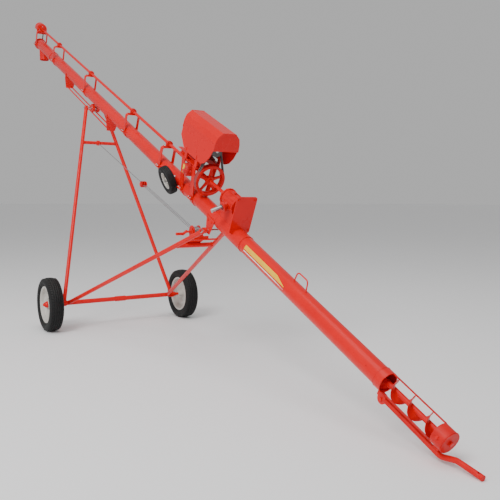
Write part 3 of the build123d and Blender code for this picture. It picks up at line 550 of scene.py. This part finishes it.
tyre = tyre_mesh("road_tyre")
for name, side in (("near", -1), ("far", 1)):
    centre = Vector(joints[name + "_wheel_spin"]["pos_m"])
    outward = sideways * side
    turned = frame_at(centre, outward, (0, 0, 1))
    obj = bpy.data.objects.new(name + "_tyre_tread", tyre)
    obj.matrix_world = Matrix.Translation(centre) @ turned.to_3x3().to_4x4()
    bpy.context.scene.collection.objects.link(obj)
    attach(obj, name + "_wheel")
    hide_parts(name + "_tyre")
    rim = Shape()
    rim.lathe(rounded([(15.4, -62), (34, -62), (34, 6), (60, 12), (92, 14), (120, 2), (rim_seat - 12, 2),
                       (rim_seat - 5, -12), (rim_seat - 5, -56), (rim_seat + 13, -57), (rim_seat + 13, -52.2),
                       (rim_seat, -49), (rim_seat - 1, 49), (rim_seat + 13, 52.4), (rim_seat + 13, 57),
                       (rim_seat - 5, 56), (rim_seat - 7, 16), (rim_seat - 20, 7), (120, 7), (92, 19),
                       (60, 17), (34, 12), (34, 30), (15.4, 30)], 4, 3), turned, 120)
    for move in around(20, 150, 6.6, half=True):
        rim.disc(turned @ move, 4.5, 1.6, steps=14, edge=0.8)
    piece(name + "_rim_disc", rim, rim_paint, name + "_wheel", [name + "_rim"])
    cap = Shape()
    cap.lathe([(0, 31), (36, 31), (37.5, 32), (37.5, 36), (36, 38), (34, 40), (30, 50), (22, 62), (14, 72),
               (9, 78), (4.5, 80.5), (0, 81)], turned, 48)
    piece(name + "_hub_cone", cap, red, name + "_wheel")
    nuts = Shape()
    for move in around(5, 60, 16.5):
        nuts.bolt(turned @ move, 11, head=False)
    valve = turned @ Matrix.Translation((164, 0, 5))
    nuts.lathe([(0, 0), (5, 0), (5, 4), (3.4, 7), (3.2, 24), (4.4, 25), (4.4, 33), (3.8, 35), (0, 35)],
               valve, 16)
    piece(name + "_wheel_nuts", nuts, zinc, name + "_wheel")

# ------------------------------------------------------------------ side wheel
jockey_way = Vector(joints["jockey_spin"]["axis"])
jockey = frame_at(joints["jockey_spin"]["pos_m"], jockey_way, downhill)
tread = Shape()
rings = []
for step in range(240):
    angle = math.tau * step / 240
    dip = 1.8 if step % 6 < 1 else 0
    wall = ((0.4, -27), (6, -29.5), (14, -28.6), (20, -35), (32, -39.4), (34, -38.4), (38, -38.4))
    outline = [(jockey_seat + rise, y) for rise, y in wall]
    outline += [(jockey_r - 17, -39), (jockey_r - 9, -36), (jockey_r - 4 - dip, -31),
                (jockey_r - 2 - dip, -26)]
    for y in (-22, -20.5, -17.5, -16, -9, -7.5, -4.5, -3):
        groove = y in (-20.5, -17.5, -7.5, -4.5)
        outline.append((jockey_r - (6 if groove else 0.8 * abs(y) / 22), y))
    outline += [(r, -y) for r, y in reversed(outline)]
    rings.append([(r * math.cos(angle), r * math.sin(angle), y) for r, y in outline])
tread.rings(rings, jockey, close_rings=True)
piece("jockey_tread", tread, rubber, "jockey_wheel", ["jockey_tyre"], 28)
rim = Shape()
rim.lathe(rounded([(10.2, -30), (24, -30), (24, 20), (10.2, 20)], 2, 3), jockey, 40)
rim.lathe(rounded([(jockey_seat - 6, -28), (jockey_seat + 2, -29), (jockey_seat - 0.5, -25),
                   (jockey_seat - 0.5, 25), (jockey_seat + 2, 29), (jockey_seat - 6, 28)], 1.5, 3),
          jockey, 72)
rim.lathe([(22, -6), (jockey_seat - 4, -6), (jockey_seat - 4, -1), (22, -1)], jockey, 72)
for k in range(6):
    turned = jockey @ Matrix.Rotation(math.tau * k / 6, 4, "Z")
    rim.box((24, -2.5, -22), (jockey_seat - 5, 2.5, 8), turned, 1)
piece("jockey_wheel_rim", rim, rim_paint, "jockey_wheel", ["jockey_rim"])
nut = Shape()
nut.bolt(jockey @ Matrix.Translation((0, 0, 30)), 14, head=False)
piece("jockey_axle_nut", nut, zinc, "auger")

# ------------------------------------------------------------------ clamps and bolts
bands = [(station, tube_r + fit_gap) for station in hanger_stations + leg_stations]
bands.append((stand_station, sleeve_r + fit_gap))
bolt_size = 9
bolts = Shape()
for station, inner in bands:
    reach = inner + strap_thick + ear_length / 2 + 2
    for side in (-reach, reach):
        for shift in (-15, 15):
            seat = station + shift
            bolts.bolt(frame_at(spot(seat, strap_thick, side), upward), bolt_size)
            bolts.bolt(frame_at(spot(seat, -strap_thick, side), -upward), bolt_size, head=False)
piece("clamp_hex_bolts", bolts, zinc, "auger", ["clamp_bolts"])

bearing_bolts = Shape()
bearing_parts = Shape()
for station in (stand_station,) + hanger_stations:
    for side in (-43, 43):
        bearing_bolts.bolt(frame_at(spot(station, shaft_height - 18, side), upward), bolt_size)
    nipple = frame_at(spot(station, shaft_height + 31.5), upward)
    bearing_bolts.lathe([(0, 0), (4, 0), (4, 3), (2.4, 4), (2.4, 7), (3.4, 8), (3.4, 9.5), (1.8, 12),
                         (0, 12)], nipple, 14)
    for end in (-1, 1):
        face = frame_at(spot(station + end * bearing_half, shaft_height), downhill * end)
        bearing_parts.lathe(rounded([(15.3, 0), (26, 0), (26, 1.6), (22, 3), (22, 9), (15.3, 9)], 0.8, 2),
                            face, 36)
        bearing_parts.lathe(rounded([(27.5, 0), (31, 0), (31, 1.4), (27.5, 1.4)], 0.5, 2), face, 36)
piece("bearing_bolts", bearing_bolts, zinc, "auger")
piece("bearing_rings", bearing_parts, cast_red, "auger")

# ------------------------------------------------------------------ weld beads
welds = {}


def bead(body, centre, along, radius, thick=2.6, squeeze=None):
    """A rippled ring of weld about an axis. The squeeze stretches it for a slanted joint."""
    turned = frame_at(centre, along, squeeze[0] if squeeze else None)
    count = max(36, int(math.tau * radius / 4))
    path, size = [], []
    for k in range(count):
        angle = math.tau * k / count
        x = radius * math.cos(angle) * (squeeze[1] if squeeze else 1)
        path.append(turned @ Vector((x, radius * math.sin(angle), 0)))
        size.append(thick * (1 + 0.16 * math.sin(k * 2.3) + 0.08 * random.uniform(-1, 1)))
    welds.setdefault(body, Shape()).sweep(path, size, 7, closed=True)


collar_length = 60
for station in coupling_ends + (tube_end - collar_length, head_end + head_length):
    bead("auger", spot(station), downhill, tube_r + 2.2, 2.8)
bead("auger", spot(cup_start + cup_length), downhill, tube_r + 0.4, 2.2)
bead("auger", spot(head_end), downhill, sleeve_r + 1, 2.4)
pivot = Vector(joints["lift"]["pos_m"])
roller = Vector(joints["roller_spin"]["pos_m"])
beam_way = (pivot - axle).normalized()
leg_way = (roller - axle).normalized()


def half_width(reach, foot_half):
    """Half the width between the frame's two sides, at a distance from the axle."""
    return foot_half + (beam_top_half - foot_half) * reach / leg_reach


# Each frame: body, upper joint, half width at the foot, the foot bead's distance from the axle,
# its cross tube's distance from the axle, the way up it, and the cross tube's radius.
frames = (("lower_frame", pivot, beam_foot_half, 30, leg_reach - 408, beam_way, beam_r),
          ("leg_frame", roller, leg_foot_half, 36, cross_tube_at, leg_way, cross_tube_r))
for side in (-1, 1):
    for body, target, foot_half, foot_bead, reach, way_up, size in frames:
        low = axle + sideways * side * foot_half * MM
        high = target + sideways * side * beam_top_half * MM
        way = (high - low).normalized()
        bead(body, low + way * foot_bead * MM, way, 22.2, 2.6)
        bead(body, high - way * 25 * MM, way, 22.0, 2.4)
    for body, target, foot_half, foot_bead, reach, way_up, size in frames:
        inset = half_width(reach, foot_half) - 21.5
        bead(body, axle + way_up * reach * MM + sideways * side * inset * MM, sideways, size + 1, 2.4)
for body, shape in welds.items():
    piece(body + "_weld_beads", shape, weld_red, body, angle=60)

# ------------------------------------------------------------------ big pulley
# The rim is 7.5 mm deeper, the hub 4 mm larger and the spokes wider than those of the CAD's pulley.
pulley = frame_at(spot(pulley_station, shaft_height), downhill, upward)
wheel = Shape()
wheel.lathe(rounded([(114, -25), (138.5, -25), (140, -23.5), (140, -19), (131, -16), (131, -6), (140, -3),
                     (140, 3), (131, 6), (131, 16), (140, 19), (140, 23.5), (138.5, 25), (114, 25),
                     (112.5, 8), (112.5, -8)], 1.2, 2), pulley, 120)
hub = [(shaft_bore, -28), (33, -28), (36, -10), (36, 10), (33, 28), (shaft_bore, 28)]
wheel.lathe(rounded(hub, 2.5, 3), pulley, 48)
for k in range(5):
    turned = pulley @ Matrix.Rotation(math.tau * k / 5, 4, "Z")
    sections = []
    for t in range(9):
        r = 31 + (117 - 31) * t / 8
        flare = abs(t / 8 - 0.5) * 2
        wide = 17.5 - 4.5 * t / 8 + 4 * flare ** 4
        deep = 8.5 - 2 * t / 8 + 3 * flare ** 4
        sections.append([(r, wide * math.cos(math.tau * a / 16), deep * math.sin(math.tau * a / 16))
                         for a in range(16)])
    wheel.rings(sections, turned)
piece("drive_pulley_cast", wheel, cast_red, "drive", ["drive_pulley"])
key = Shape()
key.disc(pulley @ Matrix.Translation((0, 0, 28)), 15.2, 3.5, start=0.2, steps=32)
key.hexagon(frame_at(spot(pulley_station + 18, shaft_height + 31), upward), 8, 7)
piece("pulley_key_and_screw", key, dark_steel, "drive")

# ------------------------------------------------------------------ chain and sprockets
chain_station = -4350
teeth = 16
link_count = 42
pitch_length = 2 * shaft_height / (link_count - teeth)
pitch_r = teeth * pitch_length / math.tau
loop_length = link_count * pitch_length


def loop_point(distance):
    """A point of the chain's loop as (side, height), from its distance round the loop."""
    distance %= loop_length
    if distance < shaft_height:
        return pitch_r, distance
    distance -= shaft_height
    arc = math.pi * pitch_r
    if distance < arc:
        angle = distance / pitch_r
        return pitch_r * math.cos(angle), shaft_height + pitch_r * math.sin(angle)
    distance -= arc
    if distance < shaft_height:
        return -pitch_r, shaft_height - distance
    angle = (distance - shaft_height) / pitch_r
    return -pitch_r * math.cos(angle), -pitch_r * math.sin(angle)


chain = Shape()
for k in range(link_count):
    a = Vector(loop_point((k + 0.5) * pitch_length))
    b = Vector(loop_point((k + 1.5) * pitch_length))
    start = spot(chain_station, a.y, a.x)
    end = spot(chain_station, b.y, b.x)
    run = end - start
    gap = 6.0 if k % 2 else 4.4
    turned = frame_at(start, downhill, run)
    chain.lathe([(0, -4), (4.5, -4), (4.5, 4), (0, 4)], turned, 12)
    chain.lathe([(0, -7.4), (2.4, -7.4), (2.4, 7.4), (0, 7.4)], turned, 10)
    length = run.length / MM
    plate = []
    for t in range(9):
        angle = math.pi / 2 + math.pi * t / 8
        plate.append((6.4 * math.cos(angle), 6.4 * math.sin(angle)))
    plate.append((length / 2, -4.6))
    for t in range(9):
        angle = -math.pi / 2 + math.pi * t / 8
        plate.append((length + 6.4 * math.cos(angle), 6.4 * math.sin(angle)))
    plate.append((length / 2, 4.6))
    for side in (-1, 1):
        z = side * gap
        chain.rings([[(x, y, z - 0.7) for x, y in plate], [(x, y, z + 0.7) for x, y in plate]], turned)
piece("roller_chain", chain, dark_steel, "auger", ["drive_chain"])
for name, height, bore in (("drive", shaft_height, shaft_bore), ("screw", 0, screw_bore)):
    turned = frame_at(spot(chain_station, height), downhill, sideways)
    wheel = Shape()
    outer = []
    for k in range(teeth):
        middle_angle = math.tau * (k + 0.5) / teeth
        for part, r in ((-0.5, 39.4), (-0.3, 40.2), (-0.17, 46), (-0.06, 48.6), (0.06, 48.6), (0.17, 46),
                        (0.3, 40.2)):
            angle = middle_angle + part * math.tau / teeth + math.tau / teeth / 2
            outer.append((r * math.cos(angle), r * math.sin(angle)))
    inner = []
    for x, y in outer:
        r = math.hypot(x, y)
        inner.append((x / r * bore, y / r * bore))
    wheel.rings([[(x, y, -3) for x, y in inner], [(x, y, -3) for x, y in outer],
                 [(x, y, 3) for x, y in outer], [(x, y, 3) for x, y in inner]], turned, close_rings=True)
    wheel.lathe(rounded([(bore, 2.9), (26, 2.9), (26, 17), (bore, 17)], 1.5, 2), turned, 40)
    piece(name + "_sprocket_teeth", wheel, dark_steel, name, [name + "_sprocket"])

# ------------------------------------------------------------------ motor
motor_start, motor_r = 985, 92
housing = Shape()
axis_low = frame_at(spot(motor_start, motor_height), downhill, upward)
housing.lathe(rounded([(12.2, 0), (70, 0), (86, 4), (92, 14), (92, 24), (84, 26), (84, 224), (92, 226),
                       (92, 236), (86, 246), (40, 250), (36, 250), (36, 246), (12.2, 246)], 3, 3),
              axis_low, 96)
for k in range(40):
    angle = math.tau * (k + 0.5) / 40
    off_top = abs((angle + math.pi) % math.tau - math.pi)
    if off_top < math.radians(30) or abs(angle - math.pi) < math.radians(50):
        continue
    turned = axis_low @ Matrix.Rotation(angle, 4, "Z")
    housing.box((82, -1.5, 25), (92.3, 1.5, 225), turned, 0.5)
for side in (-1, 1):
    housing.box((-145, side * 78 - 26, 25), (-131, side * 78 + 26, 215), axis_low, 2)
    housing.box((-145, side * 66 - 8, 25), (-60, side * 66 + 8, 215), axis_low, 2)
piece("motor_finned_housing", housing, motor_look, "auger", ["motor_housing"])
fasteners = Shape()
for side in (-1, 1):
    for along in (50, 190):
        foot_bolt = axis_low @ Matrix.Translation((-131, side * 92, along))
        fasteners.bolt(foot_bolt @ Matrix.Rotation(math.pi / 2, 4, "Y"), 10)
for move in around(4, 78, 248, half=True):
    fasteners.bolt(axis_low @ move, 6)
lid = frame_at(spot(motor_start + 120, motor_height + motor_r + 45), upward, downhill)
for x in (-42, 42):
    for y in (-37, 37):
        fasteners.disc(lid @ Matrix.Translation((x, y, 0)), 4, 2.2)
piece("motor_fasteners", fasteners, zinc, "auger")
box_lid = Shape()
box_lid.box((-51, -46, -4), (51, 46, 0.6), lid, 1.4)
box_lid.box((-49.5, -44.5, -6), (49.5, 44.5, -4), lid, 0.6)
gland = frame_at(spot(motor_start + 120, motor_height + motor_r + 20, -45), -sideways, upward)
box_lid.hexagon(gland, 22, 9)
box_lid.lathe([(0, 9), (9, 9), (9, 16), (6, 18), (0, 18)], gland, 20)
piece("terminal_box_lid", box_lid, motor_look, "auger")
grille = Shape()
fan_face = frame_at(spot(motor_start - 62, motor_height), -downhill, upward)
for r in range(18, 88, 10):
    path = [fan_face @ Vector((r * math.cos(math.tau * k / 48), r * math.sin(math.tau * k / 48), 1.2))
            for k in range(48)]
    grille.sweep(path, 1.6, 6, closed=True)
for k in range(6):
    turned = fan_face @ Matrix.Rotation(math.tau * k / 6, 4, "Z")
    grille.box((14, -2, 0), (88, 2, 2.6), turned, 0.6)
piece("fan_grille", grille, motor_look, "auger")

# ------------------------------------------------------------------ motor hood
hood_start, hood_length, hood_top, hood_base = 904, 600, 700, 372
hood_hem = Shape()


def hood_side(height, inset=0.0):
    """The hood's half width at a height."""
    if height >= hood_top - 42:
        return 102 - inset
    if height >= hood_top - 90:
        return 102 + (height - hood_top + 42) / -48 * 14 - inset
    return 116 + (hood_top - 90 - height) / (hood_top - 90 - hood_base) * 4 - inset


hem_line = [(hood_start, hood_base + 105), (hood_start + 115, hood_base), (hood_start + 435, hood_base),
            (hood_start + 500, hood_base + 35), (hood_start + 555, hood_base + 100),
            (hood_start + 588, hood_base + 175)]
for side in (-1, 1):
    path = []
    for (s0, h0), (s1, h1) in zip(hem_line, hem_line[1:]):
        for k in range(8):
            t = k / 8
            height = h0 + (h1 - h0) * t
            path.append(spot(s0 + (s1 - s0) * t, height, side * hood_side(height, 1.5)) / MM)
    path.append(spot(hem_line[-1][0], hem_line[-1][1], side * hood_side(hem_line[-1][1], 1.5)) / MM)
    hood_hem.sweep(path, 3.2, 8)
for station, low in ((hood_start + 1.5, hood_base + 105), (hood_start + hood_length - 1.5, hood_base + 175)):
    width = hood_side(low, 1.5)
    hood_hem.sweep([spot(station, low, -width) / MM, spot(station, low, width) / MM], 3.2, 8)
corners = [(-120, hood_base + 175), (-116, 610), (-102, 658), (-60, 700), (60, 700), (102, 658), (116, 610),
           (120, hood_base + 175)]
for station in (hood_start + 1.2, hood_start + hood_length - 1.2):
    for (y0, h0), (y1, h1) in zip(corners, corners[1:]):
        pull = 0.992
        hood_hem.sweep([spot(station, h0, y0 * pull) / MM, spot(station, h1, y1 * pull) / MM], 2.2, 6)
piece("hood_hem", hood_hem, sheet_red, "auger", angle=50)
rivets = Shape()
for station in (hood_start + 150, hood_start + 350):
    for side in (-1, 1):
        for height in (hood_base + 12, hood_base + 30):
            seat = frame_at(spot(station, height, side * (hood_side(height) + 0.2)), sideways * side)
            rivets.bolt(seat, 7)
piece("hood_bolts", rivets, red, "auger")

# ------------------------------------------------------------------ gearbox
gear_start, gear_body, plate_station, plate_thick = 1690, 205, 1960, 8
case = Shape()
case_bolts = Shape()
for station, way in ((gear_start, -1), (gear_start + gear_body, 1)):
    face = frame_at(spot(station - way * 14, shaft_height), downhill * way, upward)
    case.lathe(rounded([(66, 0), (79, 0), (79, 14), (70, 14), (46, 16), (46, 4), (66, 4)], 2, 3), face, 96)
    for move in around(8, 73.5, 14, half=True):
        case_bolts.bolt(face @ move, 6.5)
for k in range(10):
    angle = math.tau * (k + 0.5) / 10
    if abs(angle - math.pi) < 0.7:
        continue
    turned = frame_at(spot(gear_start, shaft_height), downhill, upward) @ Matrix.Rotation(angle, 4, "Z")
    case.box((68, -3, 14), (76, 3, gear_body - 14), turned, 1.2)
input_way = Vector(joints["input_spin"]["axis"])
gear_point = Vector(joints["input_spin"]["pos_m"])
boss = frame_at(gear_point + input_way * 92 * MM, input_way, downhill)
collar = [(33, 0), (44, 0), (44, 14), (36, 19), (25, 20.4), (18, 20.4), (18, 12), (33, 12)]
case.lathe(rounded(collar, 1.8, 3), boss, 64)
for move in around(4, 39.5, 13.5, half=True):
    case_bolts.bolt(boss @ move, 5)
plug = frame_at(spot(gear_start + 100, shaft_height + 74), upward)
case_bolts.disc(plug, 11, 4)
case_bolts.hexagon(plug, 15, 9, 4)
for side in (-1, 1):
    for height in (60, 322):
        spread = 74 if height > 200 else 82
        case_bolts.bolt(frame_at(spot(plate_station, height, side * spread), -downhill), 9)
        back = frame_at(spot(plate_station + plate_thick, height, side * spread), downhill)
        case_bolts.bolt(back, 9, head=False)
piece("gearbox_flanges", case, cast_red, "auger")
piece("gearbox_bolts", case_bolts, cast_red, "auger")
seal = Shape()
seal.lathe(rounded([(17.9, 0), (24.5, 0), (24.5, 1.6), (20, 2.4), (17.9, 2.4)], 0.6, 2),
           frame_at(gear_point + input_way * 112.4 * MM, input_way), 48)
piece("input_oil_seal", seal, black_plastic, "auger")
key = Shape()
stub = frame_at(gear_point + input_way * 150 * MM, input_way, -downhill + upward)
key.box((14.5, -5, -20), (19.5, 5, 48), stub, 0.8)
key.lathe([(0, 55.9), (9, 55.9), (9.0, 56.15), (3.4, 56.15), (0, 56.15)], stub, 24)
piece("input_key", key, steel, "gear_input")

# ------------------------------------------------------------------ switch
switch_station, switch_height, switch_front = 1141, 235, -145
cover = Shape()
face = frame_at(spot(switch_station, switch_height, switch_front), -sideways, downhill)
cover.box((-46.5, -46.5, -10), (46.5, 46.5, -6.5), face, 1)
for x in (-40, 40):
    for y in (-40, 40):
        cover.disc(face @ Matrix.Translation((x, y, -0.2)), 4, 1.6)
gland = frame_at(spot(switch_station + 45, switch_height, -110), downhill)
cover.hexagon(gland, 20, 8)
cover.lathe([(0, 8), (8, 8), (8, 14), (5, 16), (0, 16)], gland, 20)
piece("switch_cover_trim", cover, red_plastic, "auger")
knob_at = frame_at(joints["switch_turn"]["pos_m"], -sideways, downhill)
knob = Shape()
knob.lathe([(0, 0), (21.5, 0), (22, 0.6), (22, 6.5), (21, 7.6), (17.4, 8), (16.8, 9.5), (16.2, 22),
            (15, 23.6), (12.6, 24), (0, 24)], knob_at, 48)
for k in range(18):
    turned = knob_at @ Matrix.Rotation(math.tau * k / 18, 4, "Z")
    knob.box((15.6, -1.1, 9.4), (17.6, 1.1, 21.5), turned, 0.4)
knob.box((-15.5, -2.6, 23), (15.5, 2.6, 24.8), knob_at, 0.6)
piece("switch_turn_knob", knob, red_plastic, "switch", ["switch_knob"])

# ------------------------------------------------------------------ winch and ropes
winch = Vector(joints["winch_turn"]["pos_m"])
hoist_way = Vector(joints["hoist_run"]["axis"]).normalized()
winch_y = -20
drum = frame_at(winch + sideways * winch_y * MM, sideways, beam_way)
wound = Shape()
turns = 9
turn_steps = 28
rope_r = 3
wound_r = 38 + rope_r
wound_width = 54
path = []
for k in range(turns * turn_steps + 1):
    angle = math.tau * k / turn_steps
    path.append(drum @ Vector((wound_r * math.cos(angle), wound_r * math.sin(angle),
                               -wound_width / 2 + wound_width * k / (turns * turn_steps))))
wound.sweep(path, rope_r, 8)
piece("drum_rope_turns", wound, rope, "winch")
ratchet = Shape()
outer = []
for k in range(24):
    angle = math.tau * k / 24
    outer.append((50 * math.cos(angle), 50 * math.sin(angle)))
    outer.append((56 * math.cos(angle + 0.02), 56 * math.sin(angle + 0.02)))
inner = [(x / math.hypot(x, y) * 39, y / math.hypot(x, y) * 39) for x, y in outer]
for z in (-34.8, 30.8):
    ratchet.rings([[(x, y, z) for x, y in inner], [(x, y, z) for x, y in outer],
                   [(x, y, z + 4) for x, y in outer], [(x, y, z + 4) for x, y in inner]],
                  drum, close_rings=True)
piece("drum_ratchet_rims", ratchet, red, "winch")


def strands(shape, start, end, radius, lay):
    """A laid rope of three strands between two points."""
    run = end - start
    turned = frame_at(start, run)
    length = run.length / MM
    strand_r = radius * 0.52
    count = max(8, int(length / lay * 10))
    for strand in range(3):
        path = []
        for k in range(count + 1):
            angle = math.tau * (strand / 3 + length / lay * k / count)
            path.append(turned @ Vector(((radius - strand_r) * math.cos(angle),
                                         (radius - strand_r) * math.sin(angle), length * k / count)))
        shape.sweep(path, strand_r, 6)


pendant_length = 1430
anchor = axle + leg_way * cross_tube_at * MM
block_reach = (anchor - winch).length - pendant_length * MM
block_point = winch + hoist_way * block_reach + sideways * winch_y * MM
falls = Shape()
falls_start = winch + sideways * winch_y * MM + hoist_way * 40 * MM
falls_end = block_point - hoist_way * 32.5 * MM
for side in (-18, 0, 18):
    line = sideways * side * MM
    strands(falls, falls_start + line, falls_end + line, rope_r, 26)
falls_rope = piece("hoist_falls_rope", falls, rope, None, ["hoist_falls"], angle=70)
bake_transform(falls_rope)
pendant = Shape()
strands(pendant, block_point + hoist_way * 51 * MM, anchor + sideways * winch_y * MM - hoist_way * 31 * MM,
        rope_r + 1, 34)
piece("hoist_pendant_rope", pendant, rope, "hoist_block", ["hoist_pendant"], angle=70)
pulleys = Shape()
sheave_axis = frame_at(block_point, sideways, hoist_way)
for side in (-18, 0, 18):
    pulleys.lathe(rounded([(8, side - 6), (32, side - 6), (32, side - 4.5), (28.5, side - 2),
                           (28.5, side + 2),
                           (32, side + 4.5), (32, side + 6), (8, side + 6)], 0.8, 2), sheave_axis, 56)
piece("block_sheaves", pulleys, dark_steel, "hoist_block")

# ------------------------------------------------------------------ bolts at the intake, spout, tow bar and frame
small = Shape()
small.bolt(frame_at(spot(4314, 18, -65.2), -sideways + upward * 0.25), 10)
small.bolt(frame_at(spot(4314, 18, 65.2), sideways + upward * 0.25), 10)
small.bolt(frame_at(spot(tow_start, -114, -13), -sideways), 14)
small.bolt(frame_at(spot(tow_start, -114, 13), sideways), 14, head=False)
small.bolt(frame_at(spot(4360, 0), downhill), 16)
for angle in range(0, 360, 60):
    turned = Vector(upward * math.cos(math.radians(angle)) + sideways * math.sin(math.radians(angle)))
    small.bolt(frame_at(spot(-4310) + turned * 34 * MM, -downhill), 6)
for side in (-1, 1):
    for station in (half_spread - 28, half_spread + 28):
        small.bolt(frame_at(spot(station, -30, side * 77.8), sideways * side), 10)
for side in (-1, 1):
    small.bolt(frame_at(pivot + sideways * side * 146 * MM, sideways * side), 14)
piece("intake_and_frame_bolts", small, red, "auger")

# ------------------------------------------------------------------ stripes on the lower tube
def stripe(name, material, low, high, start, end, lift):
    """A band of film on the near side of the lower tube, between two angles above the side."""
    band = Shape()
    radius = tube_r + lift
    columns, rows = 60, 8
    points, faces = [], []
    for i in range(columns + 1):
        station = start + (end - start) * i / columns
        taper = 1 - max(0, (i - columns * 0.8) / (columns * 0.2)) * 0.85
        for j in range(rows + 1):
            angle = math.radians(low + (high - low) * taper * j / rows)
            p = spot(station, radius * math.sin(angle), -radius * math.cos(angle))
            points.append(p / MM)
    for i in range(columns):
        for j in range(rows):
            a = i * (rows + 1) + j
            faces.append((a, a + 1, a + rows + 2, a + rows + 1))
    band.add(points, faces)
    return piece(name, band, material, "auger")


stripe_start, stripe_end, film_lift = 2180, 2760, 0.5
stripe("lower_tube_stripe_wide", stripe_yellow, 8, 38, stripe_start, stripe_end, film_lift)
stripe("lower_tube_stripe_thin", stripe_white, -8, 0, stripe_start, stripe_end, film_lift)

size = {"cad": [list(corner) for corner in cad_box], "visual": [list(corner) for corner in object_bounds()]}
